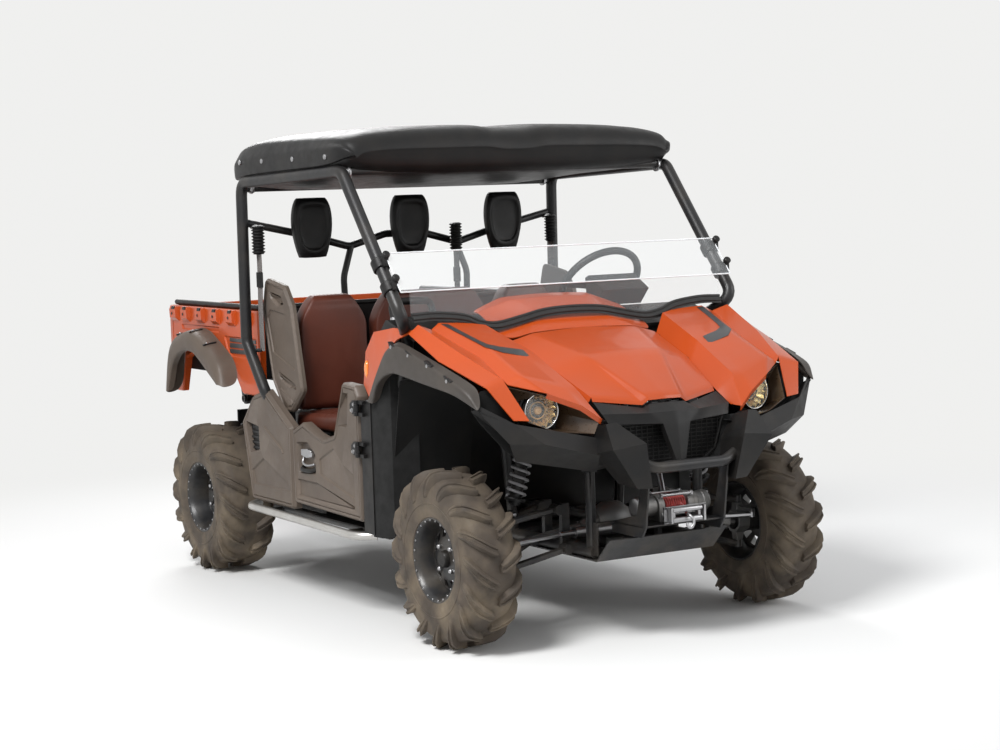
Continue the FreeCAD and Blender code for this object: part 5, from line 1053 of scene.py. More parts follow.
FLARE = [
    # top x, y, z; lip x, y, z
    (720, -560, 880, 756, -600, 862), (722, -650, 985, 766, -662, 940), (742, -742, 1078, 773, -738, 976),
    (742, -812, 1110, 774, -806, 989), (744, -1095, 1044, 775, -1022, 961),
    (716, -1330, 966, 770, -1236, 938),
    (728, -1374, 903, 746, -1356, 894),
]
BAND = [
    # outer x, y; inner x, y
    (598, -872, 568, -872), (584, -950, 554, -955), (566, -1040, 536, -1045), (552, -1118, 524, -1082),
    (505, -1158, 486, -1106), (450, -1170, 440, -1120), (400, -1178, 404, -1132),
]
# Upper face of a fender at three places along it: inner x, outer x, inner z, outer z
TOP_REAR, TOP_MIDDLE, TOP_FRONT = (480, 600, 1162, 1168), (432, 545, 1070, 1080), (392, 545, 947, 992)
TOP_REAR_Y, TOP_MIDDLE_Y, TOP_FRONT_Y = -855, -1130, -1366


def fender_top(x, y):
    """Height of a fender's upper face."""
    if y > TOP_MIDDLE_Y:
        low, high, share = TOP_REAR, TOP_MIDDLE, (TOP_REAR_Y - y) / (TOP_REAR_Y - TOP_MIDDLE_Y)
    else:
        low, high, share = TOP_MIDDLE, TOP_FRONT, (TOP_MIDDLE_Y - y) / (TOP_MIDDLE_Y - TOP_FRONT_Y)
    x0, x1, z0, z1 = (a + (b - a) * share for a, b in zip(low, high))
    return z0 + (z1 - z0) * (x - x0) / (x1 - x0)


ARCH_SLOTS = [
    # y, z
    (-800, 1096), (-930, 1070), (-1070, 1040), (-1210, 994),
]
BAY_LINES = [
    # y, x of the inner edge, z
    (-905, 330, 1040), (-1150, 300, 955), (-1318, 270, 880),
]
BAY_SHADE_Y = -1322
BAY_SHADE_LOW = [(236, 690), (430, 690), (560, 700), (610, 736), (700, 832), (737, 880)]
BAY_SHADE_TOP = [(236, 862), (400, 935), (560, 982), (610, 964), (700, 950), (738, 900)]
ARCH_SHADE_REAR = [
    # x, y, low z, high z
    (738, -546, 346, 868), (732, -606, 346, 926), (706, -660, 350, 978), (600, -680, 356, 1000),
]


def front_body():
    """Hood, fenders, cowl, nose, bumper, wheel arches, the lining behind them, and black sheets of painted
    shade in the open bay.
    """
    moulded("hood_skin", HOOD, HOOD_FACES, "orange_plastic", ["hood"], "hood")
    moulded("fender_skins", FENDER, FENDER_FACES, "orange_plastic", ["front_fenders"])
    moulded("scuttle_sides", SIDE, SIDE_FACES, "orange_plastic")
    moulded("cowl_skin", COWL, COWL_FACES, "orange_plastic", ["dash_cowl"], crease=0.5, curved=True)
    moulded("nose_skin", FASCIA, FASCIA_FACES, "black_plastic", ["front_fascia"], slot="slate_plastic")
    moulded("bumper_wings", WING, WING_FACES, "grey_plastic", slot="slate_plastic")
    moulded("bumper_lobes", LOBE, LOBE_FACES, "black_plastic", ["bumper_cover"], slot="slate_plastic")
    rows = [((tx, ty, tz), (ox, ty, tz - 12), (ox, ly, lz), (ox - 34, ly, lz + 4))
            for tx, ty, tz, ox, ly, lz in FLARE]
    moulded("front_arches", *strip(rows, "tslp"), "arch_grey", ["front_flares"], crease=0.35, curved=True,
            slot="slate_plastic", bevel=0.0)
    bolts, slots, lining, wall, stripe = shapes(5)
    for y, z in ARCH_SLOTS:
        slots.rings([[(x, y - 30, z - 8), (x, y + 26, z + 10), (x, y + 20, z - 4), (x, y - 4, z - 34)]
                     for x in (752, 770)])
        bolts.turned([(0, 7), (3, 7), (5, 4), (5, 0)], (769, y + 2, z - 10), sides=12)
    piece("arch_bolts", bolts.both(), "steel", slot="slate_plastic")
    piece("arch_slots_front", slots.both(), "black_plastic", bevel=1.0)
    lining.grid([[(x - 60, y, z - 6), (x + 20, y, z), (x + 70, y, z + 22), (x + 180, y, z + 30),
                  (x + 300, y + 10, z + 24), (min(720, x + 400), y + 30, z - 10)] for y, x, z in BAY_LINES])
    piece("bay_lining", lining.both(), "black_plastic", wall=2.0, levels=1)
    # Black sheets of painted shade: across the bay, behind the nose and behind each arch
    wall.grid([[(x, BAY_SHADE_Y, z) for x, z in line] for line in (BAY_SHADE_LOW, BAY_SHADE_TOP)])
    wall.grid([[(240, -1500, 790), (330, -1490, 764), (628, -1428, 832), (742, -1360, 892)],
               [(240, -1324, 780), (330, -1324, 760), (628, -1324, 800), (740, -1324, 884)]])
    wall.grid([[(x, y, low + (high - low) * share) for share in (0, 0.33, 0.67, 1)]
               for x, y, low, high in ARCH_SHADE_REAR])
    piece("bay_shade_sheets", wall.both(), "painted_shade_black", slot="black_plastic", wall=2.0)
    rows = []
    for a, b in zip(BAND, BAND[1:]):
        for k in range(5):
            start, end = (Vector(a[i:i + 2]).lerp(Vector(b[i:i + 2]), k / 4) for i in (0, 2))
            across = (start, start.lerp(end, 0.5), end)
            rows.append([(p.x, p.y, fender_top(p.x, p.y) + 2.2) for p in across])
    stripe.grid(rows)
    piece("fender_bands", stripe.both(), "graphite", wall=0.4, slot="grey_plastic")


LAMP = Vector((470.0, -1322.0, 866.0))
LAMP_AXIS = (0.12, -1, 0)
# Bucket of a lamp: its opening in the bodywork and the edge round the lamp
MOUTH = [(598, -1336, 958), (480, -1402, 922), (372, -1460, 876), (314, -1484, 826), (334, -1482, 784),
         (470, -1446, 800), (566, -1420, 840)]
BACK = [(560, -1330, 905), (480, -1330, 925), (400, -1330, 905), (385, -1330, 850), (400, -1330, 800),
        (470, -1330, 785), (545, -1330, 806)]


def lamps():
    """Buckets, seats, chrome rims, faceted bowls, bulbs and glass of the headlights."""
    shells, rings, bowls, bulbs, glass, seats = shapes(6)
    for corners in zip(MOUTH, MOUTH[1:] + MOUTH[:1], BACK[1:] + BACK[:1], BACK):
        a, b, c, d = (Vector(p) for p in corners)
        shells.add([a, b, b.lerp(c, 0.5), a.lerp(d, 0.5)], [(0, 1, 2, 3)])
        shells.add([a.lerp(d, 0.5), b.lerp(c, 0.5), c, d], [(0, 1, 2, 3)])
    seats.turned([(-34, 60), (-6, 78), (14, 78), (14, 70), (0, 66), (-34, 62)], LAMP, LAMP_AXIS, 48,
                 closed=True)
    rings.turned([(10, 65.5), (34, 68), (40, 66), (40, 63), (34, 61), (10, 61)], LAMP, LAMP_AXIS, 56,
                 closed=True)
    bowl = [(34, 61)] + [(-18 + 52 * (1 - k / 8) ** 2, 61 * (1 - k / 8 * 0.78)) for k in range(9)]
    bowl += [(d - 4, r + 1.5) for d, r in reversed(bowl)]
    bowls.turned(bowl, LAMP, LAMP_AXIS, 28, closed=True)
    # Every second point is drawn in, so that the bowl has facets
    for k in range(1, len(bowls.points), 2):
        bowls.points[k] = bowls.points[k].lerp(LAMP, 0.16)
    bulbs.turned([(-16, 15), (8, 15), (14, 11), (16, 0)], LAMP, LAMP_AXIS, 24)
    bulbs.turned([(2, 30), (6, 32), (10, 30), (6, 27)], LAMP, LAMP_AXIS, 32, closed=True)
    glass.turned([(36, 62), (40, 58), (44, 40), (46, 0)], LAMP, LAMP_AXIS, 48)
    piece("lamp_shells", shells.both(), "bucket_brown", wall=2.5, bevel=2.0, over=["lamp_buckets"],
          slot="black_plastic")
    piece("lamp_seats", seats.both(), "black_plastic", bevel=1.0)
    piece("lamp_rims", rings.both(), "chrome", bevel=0.8, over=["headlights"])
    # The bowls' warm tint and the bulbs' warm colour are a painted glow; the lamps give no light
    piece("lamp_bowls", bowls.both(), "reflector", slot="chrome")
    piece("lamp_bulbs", bulbs.both(), "warm_glow", slot="chrome")
    piece("lamp_glass", glass.both(), "lens", over=["headlight_lenses"])


GUARD_PLATE = [(-1586, 650), (-1548, 655), (-1500, 480), (-1340, 440), (-1340, 400), (-1530, 400),
               (-1556, 440)]
WINCH_Y, WINCH_Z = -1462, 498
ROPE_TURNS, ROPE_STEPS, ROPE_WOUND_R = 9, 24, 33
HOOK_LINE = [(0, -1566, 474), (0, -1580, 470), (6, -1592, 458), (4, -1596, 440), (-8, -1594, 428),
             (-18, -1590, 436), (-16, -1588, 446)]
NET_LINE = [(-240, 804), (240, 804), (204, 688), (152, 652), (-152, 652), (-204, 688)]
SHADE_SHEET_LINE = [(-236, 800), (236, 800), (200, 690), (150, 656), (-150, 656), (-200, 690)]


def nose_guard():
    """Guard's tube and the plates that carry the winch."""
    guard = Shape()
    path = [(262, -1300, 640), (262, -1560, 700), (150, -1592, 655)]
    guard.tube(bent(with_mirror(path), 90), 20)
    for s in (-1, 1):
        guard.prism(GUARD_PLATE, s * 168, s * 176)
        guard.block(s * 249 - 3, s * 249 + 3, -1360, -1330.4, 320, 442)
    guard.block(-176, 176, -1540, -1340, 436, 442)
    guard.block(-252, 252, -1360, -1340, 432, 442)
    piece("guard_bar", guard, "frame_paint", bevel=1.5, over=["bumper_bar"])


def winch():
    """Winch body with its wound rope, tie bars, roller fairlead and hook."""
    y, z = WINCH_Y, WINCH_Z
    at = (0, y, z)
    body, silver, rope, rollers = shapes(4)
    body.turned([(-150, 38), (-84, 38), (-80, 34), (-76, 34)], at, sides=40)
    silver.turned([(-162, 0), (-162, 28), (-158, 36), (-150, 39.5), (-144, 39.5), (-144, 0)], at, sides=40)
    body.turned([(70, 34), (78, 40), (96, 40), (98, 37), (124, 37), (126, 40), (146, 40), (158, 30),
                 (160, 0)], at, sides=40)
    arch = [(y + 42 * math.cos(t), z - 6 + 50 * math.sin(t)) for t in (math.pi * k / 12 for k in range(13))]
    for x0, x1 in ((-78, -52), (52, 78)):
        body.prism(arch + [(y - 42, 442.5), (y + 42, 442.5)], x0, x1)
    whole = ROPE_TURNS * ROPE_STEPS
    rope.tube([(-45 + 90 * k / whole, y + ROPE_WOUND_R * math.cos(t), z + ROPE_WOUND_R * math.sin(t))
               for k, t in ((k, 2 * math.pi * k / ROPE_STEPS) for k in range(whole + 1))], 5.2, 8)
    rope.turned([(-50, 29), (50, 29)], at, sides=32)
    end = [(20, y - 33, z + 4), (14, y - 60, z - 4), (4, y - 92, z - 22), (0, y - 104, z - 26)]
    rope.tube(spline(end, 6), 5, 10)
    for dy, dz in ((-36, 40), (36, 40), (-40, -30), (40, -30)):
        silver.tube([(-66, y + dy, z + dz), (66, y + dy, z + dz)], 5.5, 16)
        silver.turned([(-70, 9), (-62, 9)], (0, y + dy, z + dz), sides=6)
        silver.turned([(62, 9), (70, 9)], (0, y + dy, z + dz), sides=6)
    for rz in (456, 492):
        rollers.turned([(-64, 8), (-60, 9.5), (60, 9.5), (64, 8)], (0, -1563, rz), sides=24)
    for rx in (-56, 56):
        rollers.turned([(458, 7), (490, 7)], (rx, -1558, 0), (0, 0, 1), 20)
    for s in (-1, 1):
        silver.block(s * 72 - 4, s * 72 + 4, -1574, -1546, 446, 502)
        silver.block(s * 64 - 4, s * 64 + 4, -1546, y - 38, 450, 470)
    for x0, x1, z0, z1 in ((-92, 92, 496, 504), (-92, 92, 444, 452), (-92, -78, 446, 502),
                           (78, 92, 446, 502)):
        silver.block(x0, x1, -1552, -1546, z0, z1)
    silver.tube(spline(HOOK_LINE, 6), [5.5] * 25 + [5.0] * 12, 12)
    piece("winch_case", body, "cast_metal", bevel=1.5, over=["winch"])
    piece("winch_bright_parts", silver, "steel", bevel=0.6)
    piece("winch_rope", rope, "rope_red", slot="webbing")
    piece("winch_rollers", rollers, "steel", bevel=0.6)


def nose_net():
    """Mesh between the lamps and the black sheet of painted shade behind it."""
    mesh, shade_sheet = shapes(2)
    for k in range(-9, 10):
        mesh.block(k * 24 - 1.4, k * 24 + 1.4, -1466, -1463, 662, 798)
    for k in range(10):
        mesh.block(-226, 226, -1464, -1461, 666 + 14 * k - 1.4, 666 + 14 * k + 1.4)
    for (x0, z0), (x1, z1) in zip(NET_LINE, NET_LINE[1:] + NET_LINE[:1]):
        mesh.tube([(x0, -1461, z0), (x1, -1461, z1)], 7, 8)
    # Black sheet of painted shade behind the mesh, with its sides
    shade_sheet.prism(SHADE_SHEET_LINE, -1450, -1447, "y")
    for s in (-1, 1):
        shade_sheet.add([(s * 236, -1448, 800), (s * 300, -1470, 806), (s * 220, -1500, 600),
                     (s * 160, -1448, 640)], [(0, 1, 2, 3)])
    piece("nose_mesh", mesh, "black_plastic", bevel=0.3, over=["grille"])
    piece("nose_shade_sheet", shade_sheet, "painted_shade_black", slot="black_plastic")


# Scuttle seal's line on the left: x, z
SEAL_LINE = [(0, 1184), (126, 1178), (230, 1158), (336, 1140), (410, 1150), (480, 1176), (600, 1190),
             (702, 1188)]
SEAL_Y = -840


def seal():
    """Thin double lip of the scuttle seal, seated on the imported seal's line."""
    line = [(-x, z) for x, z in reversed(SEAL_LINE[1:])] + SEAL_LINE
    path = spline([(x, SEAL_Y, z + 10) for x, z in line], 6)
    lip, bed = shapes(2)
    lip.tube([p + Vector((0, -2, 4)) for p in path], 6, 12)
    lip.tube([p + Vector((0, -12, -12)) for p in path], 6, 12)
    lip.grid([[p + Vector((0, -4, 4)), p + Vector((0, -13, -10)), p + Vector((0, -16, -24))] for p in path])
    piece("scuttle_seal", lip, "seal_rubber", wall=2.0, over=["cowl_seal"])
    bed.grid([[p + Vector((0, -12, -16)), p + Vector((0, 10, -10)), p + Vector((0, 40, -4))]
              for p in path if p.x > 335])
    piece("scuttle_top", bed.both(), "black_plastic", wall=2.0)


front_body()
lamps()
nose_guard()
winch()
nose_net()
seal()


# Moulded side panels: a flat face with a rounded border, sloped recesses and raised fields
def rounded(outline, radius, steps=4):
    """Closed outline with its corners rounded."""
    corners = [Vector(p) for p in outline]
    loop = []
    for i, corner in enumerate(corners):
        u, w = corners[i - 1] - corner, corners[(i + 1) % len(corners)] - corner
        reach = min(u.length, w.length) * 0.45
        back = min(radius / max(math.tan(u.angle(w) / 2), 0.1), reach)
        a, b = corner + u.normalized() * back, corner + w.normalized() * back
        for t in (k / steps for k in range(steps + 1)):
            loop.append(a.lerp(corner, t).lerp(corner.lerp(b, t), t))
    return loop


def inset(loop, distance):
    """Closed outline moved inward."""
    area = sum(a.x * b.y - b.x * a.y for a, b in zip(loop, loop[1:] + loop[:1]))
    side = 1 if area > 0 else -1
    moved = []
    for i, p in enumerate(loop):
        runs = [p - loop[i - 1], loop[(i + 1) % len(loop)] - p]
        normals = [Vector((-v.y, v.x)).normalized() * side for v in runs if v.length > 1e-6]
        middle = sum(normals, Vector((0, 0))).normalized()
        moved.append(p + middle * distance / max(0.4, middle.dot(normals[0])))
    return moved


def relief(name, outline, fields, face, way, depth, finish, axis="x", edge=(9, 7), corner=18, border=None,
           **options):
    """Closed panel drawn in the two other axes; its face lies at a distance along the named axis.

    Fields are (outline, drop around it, drop inside it, width of its slope, corner radius). Border is
    (width, drop, slope), edge is (drop, width), and way is the side that the face looks to.
    """
    outer = rounded(outline, corner)
    loops = [(outer, edge[0]), (inset(outer, edge[1]), 0.0)]
    if border:
        width, drop, slope = border
        loops += [(inset(outer, width), 0.0), (inset(outer, width + slope), drop)]
    for line, around, inside, slope, radius in fields:
        ring = rounded(line, radius)
        loops += [(ring, around), (inset(ring, slope), inside)]
    flat, edges, drops = [], [], []
    for loop, drop in loops:
        start = len(flat)
        flat += loop
        drops += [drop] * len(loop)
        edges += [(start + i, start + (i + 1) % len(loop)) for i in range(len(loop))]
    made = delaunay_2d_cdt(flat, edges, [], 1, 0.02)

    def place(p, drop):
        at = face - way * drop
        return (at, p.x, p.y) if axis == "x" else (p.x, at, p.y)

    shape = Shape()
    shape.add([place(p, drops[ids[0]] if ids else 0.0) for p, ids in zip(made[0], made[3])],
              [tuple(f) for f in made[2]])
    rim = [place(p, edge[0]) for p in outer]
    back = [place(p, depth) for p in outer]
    shape.rings([rim, back], caps=False)
    shape.add(back, [tuple(range(len(back)))])
    piece(name, shape, finish, bevel=1.6, **options)


DOOR_X, GUARD_X = 745.0, 701.0
HINGE_HEIGHTS = (676, 836)
HINGE_PLATE = [(-468, -27), (-468, 27), (-424, 27), (-404, 12), (-404, -14), (-424, -27)]
LATCH_LINE = [(726, 70, 600), (736, 62, 576), (738, 20, 566), (728, -30, 574)]
HANDLE_LINE = [(722, 84, 556), (740, 60, 546), (740, -20, 548), (722, -52, 560)]
DOOR_LINE = [(-466, 392), (136, 404), (140, 700), (40, 742), (-70, 706), (-150, 690), (-240, 712),
             (-330, 926), (-440, 920), (-466, 880)]
DOOR_FIELDS = [
    ([(-268, 752), (-330, 886), (-372, 886), (-354, 752)], 4, 20, 8, 9),
    ([(110, 656), (8, 664), (-64, 618), (-64, 538), (88, 530)], 4, 24, 9, 14),
    ([(108, 506), (-70, 506), (-398, 446), (-398, 434), (108, 434)], 4, 12, 6, 6),
    ([(-96, 540), (-96, 604), (-226, 660), (-300, 606), (-400, 570), (-400, 472)], 4, 10, 6, 10),
]
GUARD_LINE = [(441, 1317), (262, 1285), (200, 1206), (122, 858), (228, 765), (306, 759), (408, 887),
              (482, 1183)]
GUARD_FIELDS = [
    ([(416, 1262), (300, 1242), (276, 1208), (336, 1196), (398, 1226)], 5, 18, 9, 8),
    ([(444, 1150), (414, 1186), (262, 1168), (178, 932), (398, 1004)], 5, 10, 4, 14),
    ([(352, 930), (200, 884), (176, 858), (250, 862), (330, 892)], 5, 18, 8, 8),
    ([(336, 862), (232, 822), (214, 796), (262, 786), (322, 826)], 5, 1, 4, 5),
]
PANEL_LINE = [(150, 372), (150, 712), (392, 852), (520, 820), (640, 700), (600, 540), (560, 372)]
PANEL_FIELDS = [
    ([(600, 706), (474, 690), (470, 592), (566, 572)], 4, 26, 6, 8),
    ([(420, 700), (250, 618), (230, 590), (370, 640), (420, 676)], 4, -1, 5, 5),
    ([(440, 560), (190, 470), (176, 440), (540, 440), (560, 500)], 4, 10, 6, 12),
]


def cab_sides():
    """Half doors with latches and hinges, lower panels with their vents, and shoulder guards."""
    for s, side in ((1, "left"), (-1, "right")):
        door = "door_" + side
        relief("door_skin_" + side, DOOR_LINE, DOOR_FIELDS, s * DOOR_X, s, 42, "slate_plastic", body=door,
               border=(16, 4, 5), over=[door])
        latch, hinges, bolts = shapes(3)
        latch.prism([(78, 628), (20, 634), (-24, 620), (-20, 604), (30, 596), (78, 604)], s * 724, s * 737)
        latch.turned([(0, 16), (12, 16), (14, 12), (14, 0)], (s * 724, 2, 616), (s, 0, 0), 20)
        for shape, line, radius in ((latch, LATCH_LINE, 5), (hinges, HANDLE_LINE, 9)):
            shape.tube(spline([(s * x, y, z) for x, y, z in line], 6), radius, 12)
        for z in HINGE_HEIGHTS:
            hinges.prism([(y, z + dz) for y, dz in HINGE_PLATE], s * 744, s * 751)
            hinges.turned([(-15, 11), (15, 11)], (s * 757, -474, z), (0, 0, 1), 24)
            for dy, dz in ((-444, 12), (-424, -12)):
                bolts.turned([(0, 9), (2, 9), (3, 6.5), (7, 6), (7, 0)], (s * 751, dy, z + dz), (s, 0, 0), 12)
        piece("latch_paddle_" + side, latch, "steel", door, bevel=2.0)
        piece("hinge_plates_" + side, hinges, "black_plastic", door, bevel=1.5)
        piece("hinge_bolts_" + side, bolts, "steel", door, bevel=0.5)
        relief("side_panel_" + side, PANEL_LINE, PANEL_FIELDS, s * DOOR_X, s, 40, "slate_plastic",
               edge=(14, 11), border=(18, 4, 6), over=["side_panels"] if s > 0 else ())
        relief("shoulder_guard_" + side, GUARD_LINE, GUARD_FIELDS, s * GUARD_X, s, 25, "slate_plastic",
               edge=(10, 9), corner=30, border=(15, 5, 4), over=["shoulder_guards"] if s > 0 else ())
    vents, stays = shapes(2)
    for k in range(5):
        vents.block(720, 727, 478 + 4 * k, 590 - 6 * k, 590 + 22 * k, 600 + 22 * k)
    vents.block(719, 721, 470, 600, 580, 704)
    stays.block(648, 677, 300, 350, 690.5, 900)
    piece("vent_slats", vents.both(), "black_plastic", bevel=1.0)
    piece("guard_stays", stays.both(), "black_plastic", bevel=3.0)


def steps():
    """Step tubes and the stays that hold them to the rockers."""
    bars, stays = shapes(2)
    bars.tube(bent([(672, 646, 342), (742, 598, 340), (742, -398, 330), (672, -446, 330)], 80), 17)
    for y in (-300, 450):
        stays.tube([(656, y, 334), (730, y, 334)], 9, 20)
        stays.turned([(0, 18), (5, 18), (6, 12), (6, 0)], (657, y, 334), sides=20)
    piece("step_tubes", bars.both(), "step_silver", over=["step_bars"])
    piece("step_stays", stays.both(), "frame_paint", bevel=0.8)


# Springs, bed, tailgate and tail
SHOCKS = [
    # y, head x, head z, turns of the coil
    (-1070, 340, 822, 9), (1070, 335, 690, 7),
]
SHOCK_FOOT_X, SHOCK_FOOT_Z = 435, 460
COIL_STEPS, COIL_R = 20, 33


def shocks():
    """Coil-over dampers: body, rod, caps and a true coil."""
    bodies, rods, coils = shapes(3)
    for y, head_x, head_z, turns in SHOCKS:
        foot, head = Vector((SHOCK_FOOT_X, y, SHOCK_FOOT_Z)), Vector((head_x, y, head_z))
        along = head - foot
        length = along.length
        along.normalize()
        bodies.turned([(34, 0), (34, 18), (42, 23), (length * 0.55, 23), (length * 0.57, 19),
                       (length * 0.57, 0)], foot, along)
        bodies.turned([(50, 22), (50, 38), (58, 40), (62, 38), (62, 22)], foot, along, closed=True)
        bodies.turned([(length - 58, 0), (length - 58, 38), (length - 50, 40), (length - 46, 28),
                       (length - 34, 15), (length - 26, 14), (length - 26, 0)], foot, along)
        rods.turned([(length * 0.5, 8), (length - 50, 8)], foot, along, 20)
        for end in (foot, head):
            bodies.turned([(-16, 10), (-16, 16), (16, 16), (16, 10)], end, (0, 1, 0), 24, closed=True)
            rods.turned([(-21, 7), (21, 7)], end, (0, 1, 0), 16)
        across = along.orthogonal().normalized()
        other = along.cross(across)
        low, high = 66.0, length - 64.0
        path = []
        for k in range(turns * COIL_STEPS + 1):
            t = 2 * math.pi * k / COIL_STEPS
            path.append(foot + along * (low + (high - low) * k / (turns * COIL_STEPS))
                        + (across * math.cos(t) + other * math.sin(t)) * COIL_R)
        coils.tube(path, 5.6, 10)
    piece("damper_bodies", bodies.both(), "black_plastic", bevel=0.8, over=["shock_absorbers"], slot="steel")
    piece("damper_rods", rods.both(), "steel", bevel=0.5)
    piece("damper_springs", coils.both(), "coil_grey", slot="steel")


BED_SIDE = [(592, 1168), (1543, 1168), (1543, 772), (1462, 772), (1402, 930), (1180, 1000),
            (900, 930), (780, 802), (592, 802)]
BED_FIELDS = [
    ([(612, 1050), (960, 1050), (930, 990), (880, 960), (612, 960)], 0, 6, 5, 8),
    ([(1010, 1060), (1430, 1060), (1440, 1086), (1010, 1086)], 0, 5, 5, 8),
]
REAR_ARCH = [
    # top y, z; lip y, z
    (1442, 782, 1402, 782), (1420, 930, 1376, 850), (1396, 1006, 1346, 906), (1336, 1046, 1286, 958),
    (1196, 1080, 1180, 980), (1096, 1066, 1090, 972), (960, 1004, 990, 920), (852, 950, 918, 880),
    (800, 846, 845, 846),
]


POCKET_YS = (700, 860, 1030, 1200, 1370, 1500)
POCKET_HALF = 40
# Outer face of a stake pocket: x, z
POCKET_LINE = [(673, 1096), (690, 1112), (692, 1150), (684, 1166)]


def bed():
    """Bed sides with their pockets and bands, the hoop over them, and the rear arches."""
    for s, side in ((1, "left"), (-1, "right")):
        relief("bed_side_" + side, BED_SIDE, BED_FIELDS, s * 672.3, s, 32, "orange_plastic", body="bed",
               edge=(6, 6), corner=10, over=["bed_sides"] if s > 0 else ())
    pockets, holes, stripes, hoop, slots, screws = shapes(6)
    for y in POCKET_YS:
        front, rear = y - POCKET_HALF, y + POCKET_HALF
        pockets.rings([[(671, front, z), (x, front + 5, z), (x, rear - 5, z), (671, rear, z)]
                       for x, z in POCKET_LINE])
        holes.turned([(0, 7), (2, 7), (2, 0)], (691, y + 6, 1132), (1, 0, 0), 16)
        holes.prism([(y - 26, 1152), (y + 10, 1152), (y + 2, 1166), (y - 22, 1166)], 686, 693)
    for z0, z1 in ((1026, 1042), (1000, 1020), (976, 994)):
        stripes.block(664, 669.5, 630, 905, z0, z1)
    path = [(648, 1540, 1182), (648, 598, 1182)]
    hoop.tube(bent(with_mirror(path), 40), 12)
    piece("stake_pockets", pockets.both(), "orange_plastic", "bed", bevel=4.0)
    piece("stake_holes", holes.both(), "black_plastic", "bed", bevel=0.8)
    piece("bed_bands", stripes.both(), "graphite", "bed", bevel=1.0, slot="grey_plastic")
    piece("bed_hoop", hoop, "black_plastic", "bed")
    rows = [((674, ty, tz), (752, ty, tz - 10), (771, ty + (ly - ty) * 0.45, tz + (lz - tz) * 0.45),
             (771, ly, lz), (738, ly, lz + 3)) for ty, tz, ly, lz in REAR_ARCH]
    moulded("rear_arches", *strip(rows, "tslmp"), "slate_plastic", ["bed_flares"], body="bed", crease=0.3,
            curved=True, bevel=0.0)
    for y, z in ((1300, 1049), (1150, 1067), (1000, 1016)):
        slots.rings([[(694, y - 9, h), (754, y - 5, h - 9), (756, y + 5, h - 9), (694, y + 9, h)]
                     for h in (z, z + 8)])
        screws.turned([(0, 6), (5, 5), (5, 0)], (738, y, z + 1), (0, 0, 1), 12)
    piece("arch_slots", slots.both(), "black_plastic", "bed", bevel=1.0)
    piece("arch_screws", screws.both(), "steel", "bed", bevel=0.5)


LAMP_X, LAMP_Z = 345, 630


def tail():
    """Tailgate with its fittings, and tail lamps in their cases."""
    relief("tailgate_skin", [(-670, 892), (670, 892), (670, 1168), (-670, 1168)],
           [([(-590, 936), (590, 936), (560, 1104), (-560, 1104)], 0, 9, 12, 30),
            ([(-300, 990), (300, 990), (300, 1050), (-300, 1050)], 9, 4, 8, 16)],
           1588, 1, 38, "orange_plastic", axis="y", corner=14, body="tailgate", over=["tailgate"])
    handle, red, cases = shapes(3)
    handle.prism([(-70, 1120), (70, 1120), (60, 1150), (-60, 1150)], 1586, 1592, "y")
    for s in (-1, 1):
        handle.turned([(-20, 13), (20, 13)], (s * 450, 1575, 874))
        handle.block(s * 450 - 20, s * 450 + 20, 1567, 1583, 874, 894)
    piece("tailgate_fittings", handle, "black_plastic", "tailgate", bevel=2.5)
    for shape, wide, high, layers in ((red, 42, 27, ((1, 1476), (1, 1484), (0.92, 1489))),
                                      (cases, 46, 31, ((1, 1470.4), (1, 1478), (0.96, 1480)))):
        corners = ((-wide, -high), (wide, -high), (wide, high), (-wide, high))
        shape.rings([[(x * scale + LAMP_X, y, z * scale + LAMP_Z) for x, z in corners]
                     for scale, y in layers])
    piece("tail_lamps", red.both(), "tail_red", bevel=3.0, over=["taillights"])
    piece("tail_lamp_cases", cases.both(), "black_plastic", bevel=2.0)


# Cab controls
STEERING_AT, STEERING_R, STEERING_TILT = Vector((352, -505, 1262)), 172, math.radians(40)


def steering_wheel():
    """Grip and hub with three spokes."""
    centre, tilt = STEERING_AT, STEERING_TILT
    axis = Vector((0, math.cos(tilt), math.sin(tilt)))
    across, down = Vector((1, 0, 0)), Vector((0, math.sin(tilt), -math.cos(tilt)))
    wheel, hub = shapes(2)
    wheel.tube(circle(centre, across, down, STEERING_R, 56), 15, 20, closed=True)
    hub.turned([(-30, 44), (-6, 46), (6, 40), (12, 28), (13, 0)], centre, axis, 40)
    for turn in (0, math.pi / 2, math.pi):
        way = across * math.cos(turn) + down * math.sin(turn)
        beside = axis.cross(way)
        hub.rings([[centre + way * d + beside * b * w + axis * (h - drop)
                    for b, h in ((-1, -5), (1, -5), (0.8, 4), (-0.8, 4))]
                   for d, w, drop in ((30, 24, 8), (80, 16, 6), (130, 13, 2), (168, 12, 0))])
    piece("wheel_grip", wheel, "black_plastic", "steering_wheel", over=["steering_wheel"])
    piece("wheel_hub", hub, "graphite", "steering_wheel", bevel=2.5, slot="black_plastic")


DIAL_AT, DIAL_AXIS = Vector((352, -574, 1246)), (0, 1, 0.15)


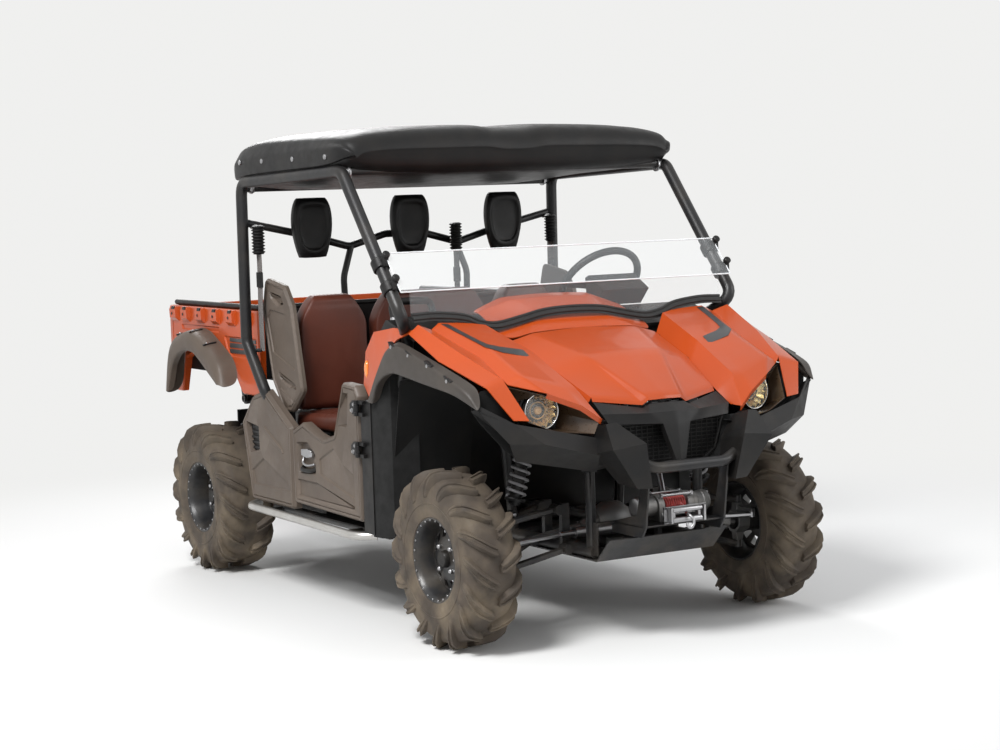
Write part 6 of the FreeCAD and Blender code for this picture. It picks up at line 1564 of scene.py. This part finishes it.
def dash():
    """Dashboard's face, gauge, hand hold and gear lever."""
    relief("dash_face", [(-650, 1046), (650, 1046), (650, 1128), (-650, 1128)],
           [([(-600, 1052), (-250, 1052), (-250, 1120), (-600, 1120)], 0, 11, 6, 14),
            ([(-190, 1052), (120, 1052), (120, 1120), (-190, 1120)], 0, 11, 6, 14),
            ([(470, 1056), (600, 1056), (600, 1118), (470, 1118)], 0, 8, 5, 12)],
           -512, 1, 14, "grey_plastic", axis="y", corner=12)
    gauge, bezel, bar, feet, lever = shapes(5)
    bezel.turned([(0, 52), (8, 52), (10, 48), (8, 44), (0, 44)], DIAL_AT, DIAL_AXIS, 40, closed=True)
    gauge.turned([(1, 46), (4, 45), (4, 0)], DIAL_AT, DIAL_AXIS, 40)
    bar.tube(bent([(-645, -600, 1165), (-645, -575, 1240), (-480, -590, 1240), (-480, -610, 1165)], 34), 14)
    for x, y in ((-645, -600), (-480, -610)):
        feet.turned([(0, 22), (5, 22), (7, 17), (16, 16), (18, 0)], (x, y, 1166), (0, 0.1, 1), 24)
    lever.tube(spline([(120, -540, 1080), (122, -500, 1120), (124, -470, 1170)], 5), 7, 14)
    lever.turned([(-8, 10), (0, 19), (18, 22), (34, 17), (40, 0)], (124, -470, 1170), (0.02, 0.4, 1), 24)
    piece("gauge_bezel", bezel, "chrome", bevel=0.8)
    piece("gauge_dial", gauge, "graphite", slot="black_plastic")
    piece("hand_hold", bar, "black_plastic", over=["grab_bar"])
    piece("hand_hold_feet", feet, "steel", bevel=0.8)
    piece("gear_lever", lever, "black_plastic", bevel=0.8)


MARKER_Y, MARKER_SQUEEZE = -500, 0.42


def markers():
    """Side markers: round forms made narrow along the vehicle."""
    marker = Shape()
    for s in (-1, 1):
        marker.turned([(-2, 34), (4, 34), (8, 28), (9, 0)], (s * 717, MARKER_Y, 984), (s, 0, 0), 32)
    marker.points = [Vector((p.x, MARKER_Y + (p.y - MARKER_Y) * MARKER_SQUEEZE, p.z)) for p in marker.points]
    piece("side_markers", marker, "amber", slot="lens")


cab_sides()
steps()
shocks()
bed()
tail()
steering_wheel()
dash()
markers()
